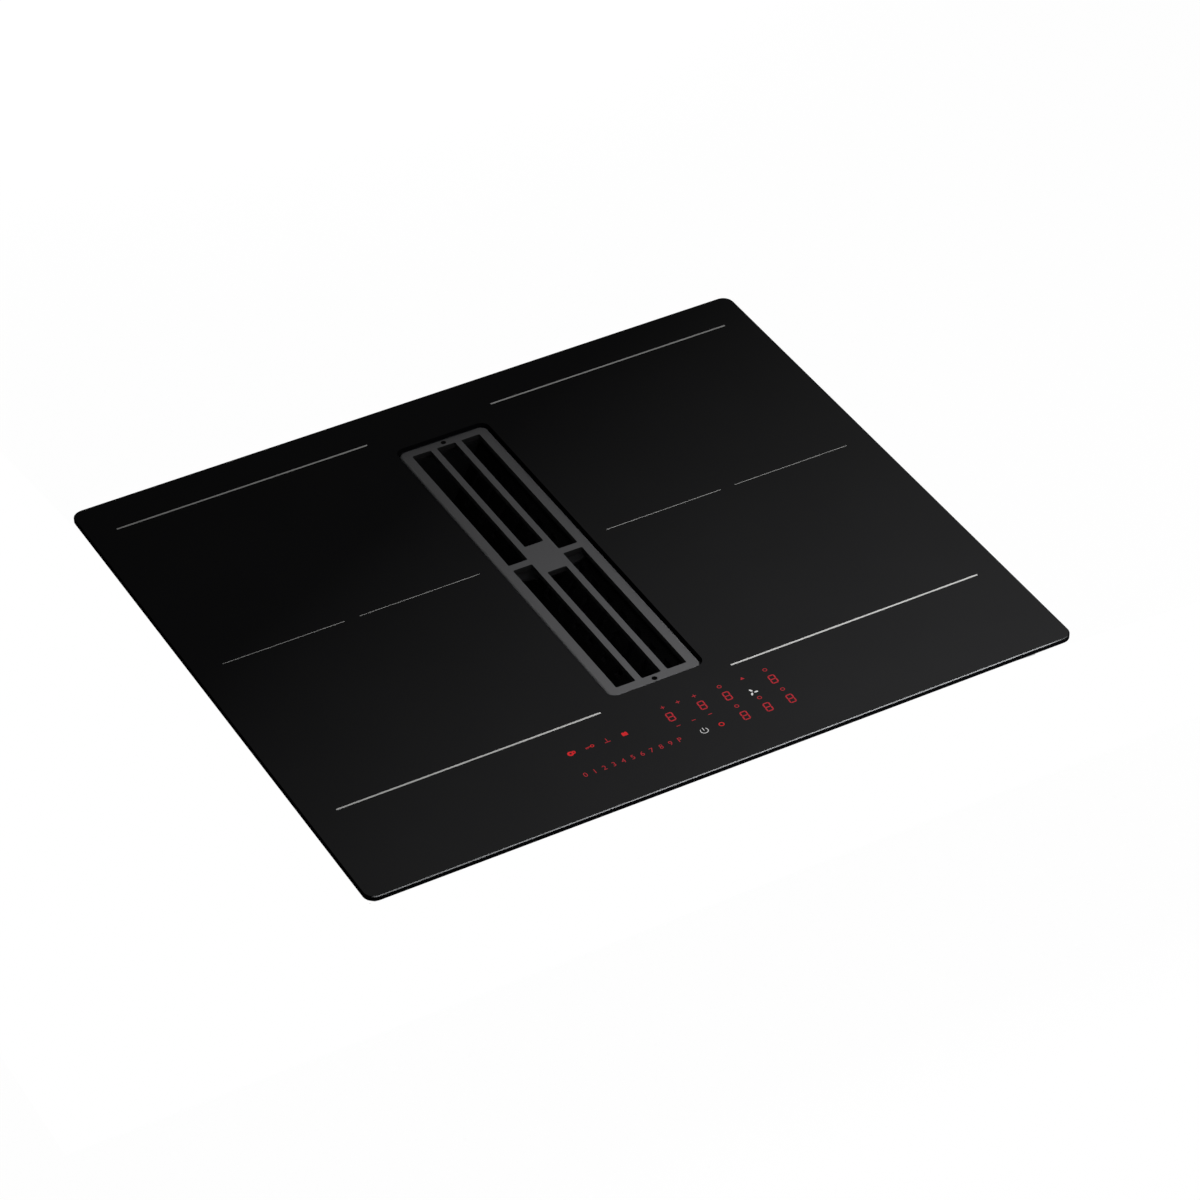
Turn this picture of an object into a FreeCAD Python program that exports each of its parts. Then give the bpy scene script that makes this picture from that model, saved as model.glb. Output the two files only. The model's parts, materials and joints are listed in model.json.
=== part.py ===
import FreeCAD, Part
import math
import os

# Downdraft induction cooktop, in millimetres.
# Origin: centre of the glass on the worktop plane. +X to the right, +Y to the rear, +Z up.

# Glass panel and the sealing strip under its rim
glass_width = 590.0
glass_depth = 515.0
glass_thickness = 4.0
glass_corner = 9.5
glass_bevel = 0.8
gasket_thickness = 1.2
gasket_width = 9.0
gasket_gap = 3.5

# Opening for the air, set towards the rear of the glass
opening_width = 81.2
opening_length = 351.6
opening_corner = 8.0
opening_setback = 27.3

# Air grille that lies in the opening
grille_gap = 1.75
grille_recess = 2.35
grille_thickness = 5.0
grille_border = 8.9
grille_bar = 5.3
grille_crossbar = 6.8
grille_pad = 36.2
grille_corner = 6.5
grille_round = 1.8
grille_slot_corner = 1.2
grille_finger_radius = 2.2
foot_height = 2.85
foot_width = 4.0
foot_length = 14.0

# Collar bonded under the opening, with the ledge that carries the filter
collar_setback = 1.0
collar_wall = 1.5
collar_flange = 8.0
ledge_width = 5.0
ledge_corner = 2.5

# Grease filter in the well
rim_thickness = 1.5
rim_clearance = 1.0
rim_width = 7.5
filter_wall = 1.0
filter_depth = 52.0
filter_trough = 24.0
trough_depth = 5.0
panel_thickness = 3.0
panel_foot = 7.6
panel_drop = 3.0
panel_clearance = 0.4
filter_slats = 15
slat_gap = 9.0
slat_end = 3.5
handle_width = 14.0
handle_thickness = 1.5
handle_drop = 6.0

# Cooktop casing of folded sheet, sized for a 560 by 490 worktop cut-out
casing_width = 554.0
casing_depth = 484.0
casing_height = 59.2
casing_corner = 12.0
sheet = 0.8
casing_lip = 8.0
vent_width = 24.0
vent_height = 4.0
vent_pitch = 34.0
vent_drop = 40.0
vent_count = 9
floor_slot = 5.0
floor_slot_pitch = 9.5

# Hold-down springs in the casing sides
spring_width = 24.0
spring_sheet = 0.7
spring_top = 6.0
spring_length = 38.0
spring_bulge = 2.6
spring_share = 0.27

# Coils, four round ones on two carrier plates
coil_offset = 163.4
coil_pitch = 190.4
coil_shift = 3.3
coil_outer = 91.0
coil_inner = 24.0
coil_height = 4.5
coil_groove = 2.5
coil_groove_depth = 1.5
coil_groove_count = 2
former_rim = 2.0
former_height = 2.5
former_window = 9.0
ferrite_count = 8
ferrite_length = 55.0
ferrite_width = 14.0
ferrite_height = 5.0
ferrite_start = 29.0
insulation_height = 1.0
insulation_margin = 14.0
plate_sheet = 1.5
plate_width = 212.0
plate_margin = 2.0
plate_leg = 30.0
plate_leg_inset = 24.0
sensor_radius = 6.0

# Power electronics on the casing floor
board_width = 170.0
board_length = 230.0
board_front = 134.0
board_thickness = 1.6
board_raise = 14.0
post_radius = 4.0
post_inset = 8.0
sink_width = 42.0
sink_length = 176.0
sink_height = 21.0
sink_base = 4.0
sink_fin = 1.6
sink_fins = 8
capacitor_radius = 11.0
capacitor_height = 21.0
capacitor_count = 3
capacitor_pitch = 27.0
choke_outer = 15.0
choke_inner = 7.0
choke_height = 13.0
choke_pitch = 38.0
component_inset = 22.0

# Cooling fans that draw in through the casing floor
fan_size = 80.0
fan_height = 20.0
fan_corner = 6.0
fan_bore = 37.5
fan_blade_radius = 36.5
fan_offset = 215.0
fan_front = 189.0
fan_hub = 15.0
fan_hub_plate = 2.5
fan_pin = 2.0
fan_pin_clearance = 0.05
fan_running_gap = 1.0
fan_blades = 7
fan_blade_thickness = 1.2
fan_blade_width = 17.0
fan_blade_tilt = 38.0
fan_strut = 4.0

# Touch control under the front of the glass
control_left = 116.0
control_right = 96.0
control_depth = 74.0
control_front = 233.5
control_height = 13.7
control_wall = 2.0
control_board_thickness = 1.6
control_board_gap = 1.0
display_width = 12.0
display_depth = 17.0
display_height = 9.4
display_pitch = 25.0
display_shift = 6.5
display_columns = 4
display_rear_row = 189.6
display_front_row = 215.4
display_first = 13.1
key_radius = 2.5
key_pitch = 12.6
key_count = 6
key_left = 96.0

# Mains connection at the rear left
terminal_width = 60.0
terminal_depth = 30.0
terminal_height = 20.0
terminal_left = 225.0
terminal_rear = 42.0
terminal_slot = 6.0
terminal_poles = 5
cover_wall = 1.5
cover_clearance = 1.0
gland_x = 195.0
gland_drop = 40.0
gland_bore = 5.0
gland_neck = 7.8
gland_flange = 11.5
gland_flange_thickness = 2.5
gland_length = 16.0
gland_clearance = 0.2

# Air well between the collar and the blower
well_wall = 2.0
well_clearance = 0.5

# Blower: spiral housing round the impeller, with a flat duct outlet at the rear
impeller_x = 150.0
impeller_y = 40.0
housing_wall = 2.5
duct_width = 218.0
duct_height = 85.0
duct_end = 222.0
scroll_radius = 114.0
scroll_step = 8.0
tongue_radius = 6.0
tongue_angle = 115.0
rib_thickness = 2.0
rib_reach = 5.0
rib_count = 5
rib_first_angle = -80.0
rib_shares = (0.35, 0.7)

# Impeller with forward-curved blades
blade_count = 36
blade_outer = 85.0
blade_inner = 69.0
blade_thickness = 1.1
blade_arc_radius = 15.5
blade_start_angle = 78.0
blade_sweep = 68.0
impeller_height = 66.0
impeller_drop = 12.5
backplate_thickness = 2.0
shroud_thickness = 2.0
shroud_width = 14.0

# Outer-rotor motor in the hub of the impeller
cup_outer = 46.0
cup_wall = 3.0
cup_height = 42.0
cup_flange = 7.0
cup_flange_thickness = 2.5
shaft_radius = 4.0
shaft_clearance = 0.05
shaft_boss = 9.0
shaft_boss_height = 6.0
stator_radius = 42.0
stator_height = 26.0
stator_slots = 12
stator_slot_width = 5.0
stator_slot_depth = 14.0
spindle_radius = 12.0
bearing_radius = 9.0
bearing_height = 7.0
motor_flange_radius = 56.0
motor_flange_thickness = 2.5
damper_height = 3.0
damper_radius = 7.0
damper_circle_radius = 46.0
damper_count = 3
motor_gap = 1.5

# Inlet plate and bell-mouthed inlet ring under the impeller
bell_throat = 64.0
bell_wall = 1.8
bell_radius = 9.0
bell_rim = 5.0

# Plenum tray that turns the air from the well to the inlet
plenum_height = 57.0
plenum_left = 56.0
plenum_right = 250.0
plenum_front = 156.0
plenum_rear = 211.0
plenum_corner = 12.0
plenum_sweep = 108.0
plenum_flange = 8.0
plenum_flange_thickness = 2.0
plenum_floor_round = 6.0
screw_radius = 3.2
screw_head = 2.2
screw_inset = 4.0

# Overflow tray that slides out of the front of the plenum
tray_width = 84.0
tray_length = 296.0
tray_height = 26.0
tray_wall = 1.8
tray_clearance = 0.5
tray_front_margin = 5.0
tray_front_thickness = 4.0
tray_grip_depth = 12.0
tray_grip_width = 50.0
tray_grip_thickness = 3.0
tray_corner = 6.0

# Outlet spigot with two gravity flaps
spigot_clearance = 0.3
spigot_wall = 2.0
spigot_length = 16.0
spigot_flange = 10.0
spigot_flange_thickness = 2.5
seal_thickness = 1.5
outlet_hole_radius = 2.2
outlet_hole_edge = 5.0
flap_thickness = 1.5
flap_side_gap = 1.2
flap_pin_radius = 1.6
flap_pin_clearance = 0.05
flap_barrel_radius = 3.0
flap_setback = 5.5
flap_top_gap = 1.5
flap_lap = 1.5
flap_foot_gap = 0.8
flap_stop = 2.5
flap_stop_gap = 0.3
flap_bar = 7.0

# Length by which a cutting tool runs past what it cuts
overrun = 5.0

# Levels that follow from the sizes above
glass_bottom = gasket_thickness
glass_top = glass_bottom + glass_thickness
grille_top = glass_top - grille_recess
grille_bottom = grille_top - grille_thickness
rim_top = grille_bottom - foot_height
ledge_top = rim_top - rim_thickness
collar_bottom = ledge_top - collar_wall
casing_bottom = glass_bottom - casing_height
casing_floor = casing_bottom + sheet
duct_top = casing_bottom - housing_wall
duct_floor = duct_top - duct_height
inlet_plate_bottom = duct_floor - housing_wall
plenum_bottom = inlet_plate_bottom - plenum_height
coil_top = glass_bottom - insulation_height
coil_bottom = coil_top - coil_height
former_bottom = coil_bottom - former_height
ferrite_bottom = former_bottom - ferrite_height
coil_plate_bottom = ferrite_bottom - plate_sheet
board_bottom = casing_floor + board_raise
board_top = board_bottom + board_thickness
opening_front = opening_setback - opening_length / 2
opening_rear = opening_setback + opening_length / 2
well_half_width = opening_width / 2 + collar_setback
well_front = opening_front - collar_setback
well_rear = opening_rear + collar_setback


def vec(x, y, z):
    return FreeCAD.Vector(x, y, z)


def polar(x, y, radius, degrees, z=0.0):
    # Point at a radius and an angle from a centre
    turn = math.radians(degrees)
    return vec(x + radius * math.cos(turn), y + radius * math.sin(turn), z)


def arc(x, y, radius, start, end):
    # Circular edge about a centre, from one angle to another in degrees
    middle = (start + end) / 2
    ends = [polar(x, y, radius, angle) for angle in (start, middle, end)]
    return Part.Arc(*ends).toShape()


def line(start, end):
    return Part.LineSegment(start, end).toShape()


def rounded_wire(x0, x1, y0, y1, radii):
    # Rectangle with a radius for each corner: front left, front right, rear right, rear left
    front_left, front_right, rear_right, rear_left = radii
    corners = (
        (x0 + front_left, y0 + front_left, front_left),
        (x1 - front_right, y0 + front_right, front_right),
        (x1 - rear_right, y1 - rear_right, rear_right),
        (x0 + rear_left, y1 - rear_left, rear_left),
    )
    arcs = []
    for turn, (x, y, radius) in enumerate(corners):
        start = 180 + 90 * turn
        arcs.append(arc(x, y, radius, start, start + 90))
    edges = []
    for index, edge in enumerate(arcs):
        following = arcs[(index + 1) % len(arcs)]
        edges.append(edge)
        edges.append(line(edge.Vertexes[-1].Point, following.Vertexes[0].Point))
    return Part.Wire(edges)


def prism(wire, bottom, top):
    # Solid of a flat outline drawn at zero height
    face = Part.Face(wire)
    face.translate(vec(0, 0, bottom))
    return face.extrude(vec(0, 0, top - bottom))


def slab(x0, x1, y0, y1, bottom, top, radius):
    return prism(rounded_wire(x0, x1, y0, y1, [radius] * 4), bottom, top)


def block(x0, x1, y0, y1, bottom, top):
    return Part.makeBox(x1 - x0, y1 - y0, top - bottom, vec(x0, y0, bottom))


def rod(x, y, bottom, top, radius):
    return Part.makeCylinder(radius, top - bottom, vec(x, y, bottom))


def rod_along(start, end, radius):
    # Cylinder between two points
    direction = end - start
    return Part.makeCylinder(radius, direction.Length, start, direction)


def tube(x, y, bottom, top, outer, inner):
    return rod(x, y, bottom, top, outer).cut(rod(x, y, bottom, top, inner))


def turned(x, y, profile):
    # Solid of revolution about a vertical axis, from radius and height pairs
    points = [vec(radius, 0, height) for radius, height in profile]
    face = Part.Face(Part.makePolygon(points + points[:1]))
    solid = face.revolve(vec(0, 0, 0), vec(0, 0, 1), 360)
    solid.translate(vec(x, y, 0))
    return solid


def ring(outer, inner, bottom, top):
    return prism(outer, bottom, top).cut(prism(inner, bottom, top))


def fused(solids):
    return solids[0].multiFuse(solids[1:]).removeSplitter()


def low_edges(solid, level):
    # Edges of a solid that lie wholly below a level
    return [edge for edge in solid.Edges if max(vertex.Point.z for vertex in edge.Vertexes) < level]


def high_edges(solid, level):
    # Edges of a solid that lie wholly above a level
    return [edge for edge in solid.Edges if min(vertex.Point.z for vertex in edge.Vertexes) > level]


def mirrored(shape):
    return shape.mirror(vec(0, 0, 0), vec(1, 0, 0))


def save(node, shape):
    solids = shape if isinstance(shape, list) else [shape]
    single = [part for group in solids for part in group.Solids]
    Part.makeCompound(single).exportStep(os.path.join("parts", node + ".step"))


def opening_wire(spread, radius):
    # Outline that follows the glass opening, wider by spread on every side
    half = opening_width / 2 + spread
    return rounded_wire(-half, half, opening_front - spread, opening_rear + spread, [radius] * 4)


def glass_wire(inset):
    x = glass_width / 2 - inset
    y = glass_depth / 2 - inset
    return rounded_wire(-x, x, -y, y, [glass_corner - inset / 2] * 4)


def glass_panel():
    # Ceramic glass with the air opening and a polished bevel round the top edge
    body = prism(glass_wire(0), glass_bottom, glass_top)
    body = body.makeChamfer(glass_bevel, high_edges(body, glass_top - glass_bevel))
    hole = prism(opening_wire(0, opening_corner), glass_bottom - overrun, glass_top + overrun)
    return body.cut(hole)


def edge_gasket():
    # Strip on the worktop, a little clear of the casing, that the rim of the glass presses on
    inner = casing_wire(-gasket_gap)
    return ring(casing_wire(-gasket_gap - gasket_width), inner, 0, glass_bottom)


def well_collar():
    # Flange under the glass, an upright wall and the ledge at its foot
    outer = collar_setback + collar_wall
    corner = opening_corner
    bore = opening_wire(collar_setback, corner + collar_setback)
    rim = opening_wire(outer + collar_flange, corner + collar_flange)
    flange = ring(rim, bore, glass_bottom - collar_wall, glass_bottom)
    wall = ring(opening_wire(outer, corner + outer), bore, collar_bottom, glass_bottom)
    ledge_inner = opening_wire(collar_setback - ledge_width, ledge_corner)
    ledge = ring(opening_wire(outer, corner + outer), ledge_inner, collar_bottom, ledge_top)
    return fused([flange, wall, ledge])


def air_grille():
    # Flat grille of three columns of slots, split by a crossbar with a pad in the middle
    half_width = opening_width / 2 - grille_gap
    front = opening_front + grille_gap
    rear = opening_rear - grille_gap
    body = prism(opening_wire(-grille_gap, grille_corner), grille_bottom, grille_top)
    body = body.makeFillet(grille_round, high_edges(body, grille_top - grille_round))
    slot = (2 * (half_width - grille_border) - 2 * grille_bar) / 3
    middle = (front + rear) / 2
    low = grille_bottom - overrun
    high = grille_top + overrun
    cuts = []
    for column in (-1, 0, 1):
        x0 = column * (slot + grille_bar) - slot / 2
        gap = grille_pad / 2 if column == 0 else grille_crossbar / 2
        for y0, y1 in ((front + grille_border, middle - gap), (middle + gap, rear - grille_border)):
            cuts.append(slab(x0, x0 + slot, y0, y1, low, high, grille_slot_corner))
    for y in (front + grille_border / 2, rear - grille_border / 2):
        cuts.append(rod(0, y, low, high, grille_finger_radius))
    return body.cut(Part.makeCompound(cuts))


def grille_feet():
    # Four silicone pads under the borders, which stand on the rim of the filter
    x = opening_width / 2 - grille_gap - grille_border / 2
    y_reach = opening_length / 2 - grille_gap - grille_border - foot_length
    feet = []
    for side in (-1, 1):
        for end in (-1, 1):
            y = opening_setback + end * y_reach
            pad = slab(-foot_width / 2, foot_width / 2, -foot_length / 2, foot_length / 2, rim_top,
                       grille_bottom, foot_width / 3)
            pad.translate(vec(side * x, y, 0))
            feet.append(pad)
    return feet


def filter_section():
    # Half widths and heights of the V that the filter panels make
    top = opening_width / 2 + collar_setback - ledge_width - rim_clearance
    foot = filter_trough / 2
    low = ledge_top - filter_depth
    return top, foot, low


def filter_ends():
    # Front and rear faces of the part of the filter that hangs inside the ledge
    inset = ledge_width + rim_clearance - collar_setback
    return opening_front + inset, opening_rear - inset


def filter_frame():
    # Rim on the ledge, two V-shaped end walls and the grease trough between them
    top, foot, low = filter_section()
    rim_wire = opening_wire(-rim_clearance, opening_corner - rim_clearance)
    rim_hole = opening_wire(-rim_clearance - rim_width, opening_corner / 2)
    parts = [ring(rim_wire, rim_hole, ledge_top, rim_top)]
    front, rear = filter_ends()
    trough_low = low - trough_depth
    outline = ((-top, rim_top), (-top, ledge_top - trough_depth), (-foot, trough_low), (foot, trough_low),
               (top, ledge_top - trough_depth), (top, rim_top))
    points = [vec(x, 0, z) for x, z in outline]
    wall = Part.Face(Part.makePolygon(points + points[:1])).extrude(vec(0, filter_wall, 0))
    for y in (front, rear - filter_wall):
        end_wall = wall.copy()
        end_wall.translate(vec(0, y, 0))
        parts.append(end_wall)
    parts.append(block(-foot, foot, front, rear, trough_low, trough_low + filter_wall))
    for side in (-1, 1):
        x = side * (foot - filter_wall / 2)
        parts.append(block(x - filter_wall / 2, x + filter_wall / 2, front, rear, trough_low, low))
        x = side * (top - filter_wall / 2)
        foot_level = ledge_top - trough_depth
        parts.append(block(x - filter_wall / 2, x + filter_wall / 2, front, rear, foot_level, ledge_top))
    return fused(parts)


def filter_panels():
    # Two sloping slatted panels that lean from the rim down to the trough
    top, _, low = filter_section()
    front, rear = filter_ends()
    front += filter_wall + panel_clearance
    rear -= filter_wall + panel_clearance
    inner_top = top - filter_wall - panel_clearance
    head = ledge_top - panel_drop
    base = low - trough_depth + filter_wall
    outline = ((inner_top, head), (panel_foot, base), (panel_foot - panel_thickness, base),
               (inner_top - panel_thickness, head))
    points = [vec(x, front, z) for x, z in outline]
    panel = Part.Face(Part.makePolygon(points + points[:1])).extrude(vec(0, rear - front, 0))
    pitch = (rear - front - slat_end) / filter_slats
    cuts = []
    for index in range(filter_slats):
        y = front + slat_end + index * pitch
        cuts.append(block(0, top, y, y + slat_gap, low + trough_depth, head - trough_depth))
    panel = panel.cut(Part.makeCompound(cuts))
    return [panel, mirrored(panel)]


def filter_handle():
    # Strap across the middle of the filter, dished so that fingers fit under it
    top = opening_width / 2 - rim_clearance - rim_width
    end = top + rim_width / 3
    y0 = opening_setback - handle_width / 2
    high = rim_top + handle_thickness
    dip = high - handle_drop
    upper = Part.Arc(vec(-top, 0, high), vec(0, 0, dip), vec(top, 0, high)).toShape()
    lower = Part.Arc(vec(top, 0, rim_top), vec(0, 0, dip - handle_thickness), vec(-top, 0, rim_top)).toShape()
    sides = [line(vec(top, 0, high), vec(top, 0, rim_top)), line(vec(-top, 0, rim_top), vec(-top, 0, high))]
    strap = Part.Face(Part.Wire([upper, sides[0], lower, sides[1]])).extrude(vec(0, handle_width, 0))
    strap.translate(vec(0, y0, 0))
    tabs = [block(x0, x1, y0, y0 + handle_width, rim_top, high) for x0, x1 in ((-end, -top), (top, end))]
    return fused([strap] + tabs)


def casing_wire(inset):
    x = casing_width / 2 - inset
    y = casing_depth / 2 - inset
    return rounded_wire(-x, x, -y, y, [casing_corner - inset] * 4)


def floor_grille(x, y):
    # Row of slots in the casing floor under a cooling fan
    rows = int(fan_bore / floor_slot_pitch)
    cuts = []
    for row in range(-rows, rows + 1):
        across = row * floor_slot_pitch
        reach = math.sqrt(fan_bore ** 2 - across ** 2) - floor_slot / 2
        if reach < floor_slot:
            continue
        cuts.append(block(x - reach, x + reach, y + across - floor_slot / 2, y + across + floor_slot / 2,
                          casing_bottom - overrun, casing_floor + overrun))
    return cuts


def gland_block(half, y0, y1):
    # Square prism on the axis of the gland, used for its neck and for the cut-out that keys it
    return block(-gland_x - half, -gland_x + half, y0, y1, -gland_drop - half, -gland_drop + half)


def hob_casing():
    # Folded tray with a lip under the glass, side vents, the gland hole and the way for the air well
    tray = prism(casing_wire(0), casing_bottom, glass_bottom)
    tray = tray.cut(prism(casing_wire(sheet), casing_floor, glass_bottom + overrun))
    lip = ring(casing_wire(0), casing_wire(casing_lip), glass_bottom - sheet, glass_bottom)
    tray = fused([tray, lip])
    cuts = [prism(opening_wire(collar_setback + well_wall + well_clearance, opening_corner + well_wall),
                  casing_bottom - overrun, casing_floor + overrun)]
    reach = casing_width / 2 + overrun
    for index in range(vent_count):
        y = (index - (vent_count - 1) / 2) * vent_pitch - vent_width / 2
        cuts.append(block(-reach, reach, y, y + vent_width, -vent_drop - vent_height, -vent_drop))
    for side in (-1, 1):
        cuts += floor_grille(side * fan_offset, -fan_front)
    cuts.append(gland_block(gland_neck + gland_clearance, casing_depth / 2 - casing_lip,
                            casing_depth / 2 + overrun))
    return tray.cut(Part.makeCompound(cuts))


def retaining_springs():
    # Bowed strips on the casing sides that wedge the cooktop in the cut-out
    x = casing_width / 2
    top = -spring_top
    low = top - spring_length
    crest = top - spring_length / 2
    bow = Part.Arc(vec(x, 0, top), vec(x + spring_bulge, 0, crest), vec(x, 0, low)).toShape()
    inner = Part.Arc(vec(x, 0, low + spring_sheet), vec(x + spring_bulge - spring_sheet, 0, crest),
                     vec(x, 0, top - spring_sheet)).toShape()
    low_end = line(vec(x, 0, low), vec(x, 0, low + spring_sheet))
    top_end = line(vec(x, 0, top - spring_sheet), vec(x, 0, top))
    strip = Part.Face(Part.Wire([bow, low_end, inner, top_end])).extrude(vec(0, spring_width, 0))
    springs = []
    for end in (-1, 1):
        spring = strip.copy()
        spring.translate(vec(0, end * casing_depth * spring_share - spring_width / 2, 0))
        springs += [spring, mirrored(spring)]
    return springs


def coil_centres(side):
    middle = opening_setback + coil_shift
    rows = {"rear": middle + coil_pitch / 2, "front": middle - coil_pitch / 2}
    return {row: (side * coil_offset, y) for row, y in rows.items()}


def coil_winding(x, y):
    # Flat pancake of litz wire, with grooves between its groups of turns
    profile = [(coil_inner, coil_bottom), (coil_outer, coil_bottom), (coil_outer, coil_top)]
    step = (coil_outer - coil_inner) / (coil_groove_count + 1)
    for index in range(coil_groove_count, 0, -1):
        middle = coil_inner + index * step
        dip = coil_top - coil_groove_depth
        profile += [(middle + coil_groove / 2, coil_top), (middle + coil_groove / 2, dip),
                    (middle - coil_groove / 2, dip), (middle - coil_groove / 2, coil_top)]
    profile.append((coil_inner, coil_top))
    return turned(x, y, profile)


def coil_former(x, y):
    # Moulded disc under the winding, with an eye for the sensor in the middle
    disc = rod(x, y, former_bottom, coil_bottom, coil_outer + former_rim)
    return disc.cut(rod(x, y, former_bottom - overrun, coil_bottom + overrun, former_window))


def ferrites(x, y):
    bars = []
    for index in range(ferrite_count):
        bar = block(x + ferrite_start, x + ferrite_start + ferrite_length, y - ferrite_width / 2,
                    y + ferrite_width / 2, ferrite_bottom, former_bottom)
        bar.rotate(vec(x, y, 0), vec(0, 0, 1), index * 360 / ferrite_count)
        bars.append(bar)
    return bars


def temperature_sensor(x, y):
    # Spring-loaded plug that stands on the plate and presses on the underside of the mat
    return rod(x, y, ferrite_bottom, coil_top, sensor_radius)


def coil_plate(side):
    # Aluminium plate under two coils, on four folded legs
    x0 = side * coil_offset - plate_width / 2
    x1 = side * coil_offset + plate_width / 2
    front = coil_centres(side)["front"][1] - coil_outer - plate_margin
    rear = coil_centres(side)["rear"][1] + coil_outer + plate_margin
    parts = [block(x0, x1, front, rear, coil_plate_bottom, ferrite_bottom)]
    for x in (x0, x1 - plate_sheet):
        for y in (front + plate_leg_inset, rear - plate_leg_inset - plate_leg):
            parts.append(block(x, x + plate_sheet, y, y + plate_leg, casing_floor, ferrite_bottom))
    return fused(parts)


def insulation(side):
    # Mica mat between the windings and the glass
    x = side * coil_offset
    centres = coil_centres(side)
    reach = coil_outer + insulation_margin / 2
    front = centres["front"][1] - coil_outer
    rear = centres["rear"][1] + coil_outer
    return slab(x - reach, x + reach, front, rear, coil_top, glass_bottom, insulation_margin)


def board_corner(side):
    # Lowest corner of a power board, which lies behind its cooling fan
    x0 = side * coil_offset - board_width / 2
    return x0, -board_front


def power_board(side):
    x0, y0 = board_corner(side)
    return block(x0, x0 + board_width, y0, y0 + board_length, board_bottom, board_top)


def board_posts():
    posts = []
    for side in (-1, 1):
        x0, y0 = board_corner(side)
        for x in (x0 + post_inset, x0 + board_width - post_inset):
            for y in (y0 + post_inset, y0 + board_length - post_inset):
                posts.append(rod(x, y, casing_floor, board_bottom, post_radius))
    return posts


def heat_sink(side):
    # Extruded sink with upright fins along the air stream of the fan
    x0 = side * (coil_offset + component_inset) - sink_width / 2
    y0 = -board_front + component_inset
    parts = [block(x0, x0 + sink_width, y0, y0 + sink_length, board_top, board_top + sink_base)]
    pitch = (sink_width - sink_fin) / (sink_fins - 1)
    for index in range(sink_fins):
        left = x0 + index * pitch
        parts.append(block(left, left + sink_fin, y0, y0 + sink_length, board_top, board_top + sink_height))
    return fused(parts)


def capacitors():
    group = []
    for side in (-1, 1):
        x = side * (coil_offset - board_width / 2 + component_inset)
        for index in range(capacitor_count):
            y = -board_front + component_inset + index * capacitor_pitch
            group.append(rod(x, y, board_top, board_top + capacitor_height, capacitor_radius))
    return group


def filter_chokes():
    # Ring chokes behind the capacitors
    group = []
    for side in (-1, 1):
        x = side * (coil_offset - board_width / 2 + component_inset)
        for index in range(2):
            y = board_length - board_front - component_inset - index * choke_pitch
            group.append(tube(x, y, board_top, board_top + choke_height, choke_outer, choke_inner))
    return group


def fan_frame(side):
    # Square frame with a hub plate on three struts and the pin that carries the rotor
    x = side * fan_offset
    y = -fan_front
    half = fan_size / 2
    top = casing_floor + fan_height
    frame = slab(x - half, x + half, y - half, y + half, casing_floor, top, fan_corner)
    frame = frame.cut(rod(x, y, casing_floor - overrun, top + overrun, fan_bore))
    parts = [frame, rod(x, y, casing_floor, casing_floor + fan_hub_plate, fan_hub)]
    for index in range(3):
        strut = block(x, x + fan_bore + fan_hub_plate, y - fan_strut / 2, y + fan_strut / 2, casing_floor,
                      casing_floor + fan_hub_plate)
        strut.rotate(vec(x, y, 0), vec(0, 0, 1), 90 + index * 120)
        parts.append(strut)
    parts.append(rod(x, y, casing_floor, top - 2 * fan_hub_plate, fan_pin))
    return fused(parts)


def fan_rotor(side):
    # Hub with tilted blades, bored to turn on the pin
    x = side * fan_offset
    y = -fan_front
    low = casing_floor + fan_hub_plate + fan_running_gap
    top = casing_floor + fan_height - fan_running_gap
    hub = rod(x, y, low, top, fan_hub)
    middle = (low + top) / 2
    keep = tube(x, y, low, top, fan_blade_radius, fan_hub - fan_running_gap)
    blades = []
    for index in range(fan_blades):
        blade = block(x, x + fan_bore, y - fan_blade_thickness / 2, y + fan_blade_thickness / 2,
                      middle - fan_blade_width / 2, middle + fan_blade_width / 2)
        blade.rotate(vec(x, y, middle), vec(1, 0, 0), fan_blade_tilt)
        blade.rotate(vec(x, y, middle), vec(0, 0, 1), index * 360 / fan_blades)
        blades.append(blade.common(keep))
    body = fused([hub] + blades)
    bore_top = top - fan_hub_plate
    return body.cut(rod(x, y, low - overrun, bore_top, fan_pin + fan_pin_clearance))


def control_box(inset, low, high):
    # Box in the outline of the touch control, moved in from its walls
    y0 = inset - control_front
    y1 = control_depth - control_front - inset
    return block(inset - control_left, control_right - inset, y0, y1, low, high)


def control_levels():
    # Underside of the carrier, and the underside and top of the board that lies in it
    low = glass_bottom - control_height
    return low, low + control_wall, low + control_wall + control_board_thickness


def control_carrier():
    # Open plastic tray that holds the touch board against the glass
    low, floor, _ = control_levels()
    return control_box(0, low, glass_bottom).cut(control_box(control_wall, floor, glass_bottom + overrun))


def control_board():
    _, floor, top = control_levels()
    return control_box(control_wall + control_board_gap, floor, top)


def digit_displays():
    # Seven-segment blocks on the board, four in the rear row and three in the front row
    low = control_levels()[2]
    group = []
    for column in range(display_columns):
        x = -display_first + column * display_pitch
        rear = block(x - display_width / 2, x + display_width / 2, -display_rear_row - display_depth / 2,
                     -display_rear_row + display_depth / 2, low, low + display_height)
        group.append(rear)
        if column > 0:
            front = rear.copy()
            front.translate(vec(display_shift, display_rear_row - display_front_row, 0))
            group.append(front)
    return group


def touch_springs():
    # Sensor springs from the board to the glass, under the slider and the keys
    low = control_levels()[2]
    group = []
    for y in (-display_front_row, -display_rear_row):
        for index in range(key_count):
            group.append(rod(-key_left + index * key_pitch, y, low, glass_bottom, key_radius))
    return group


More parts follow.
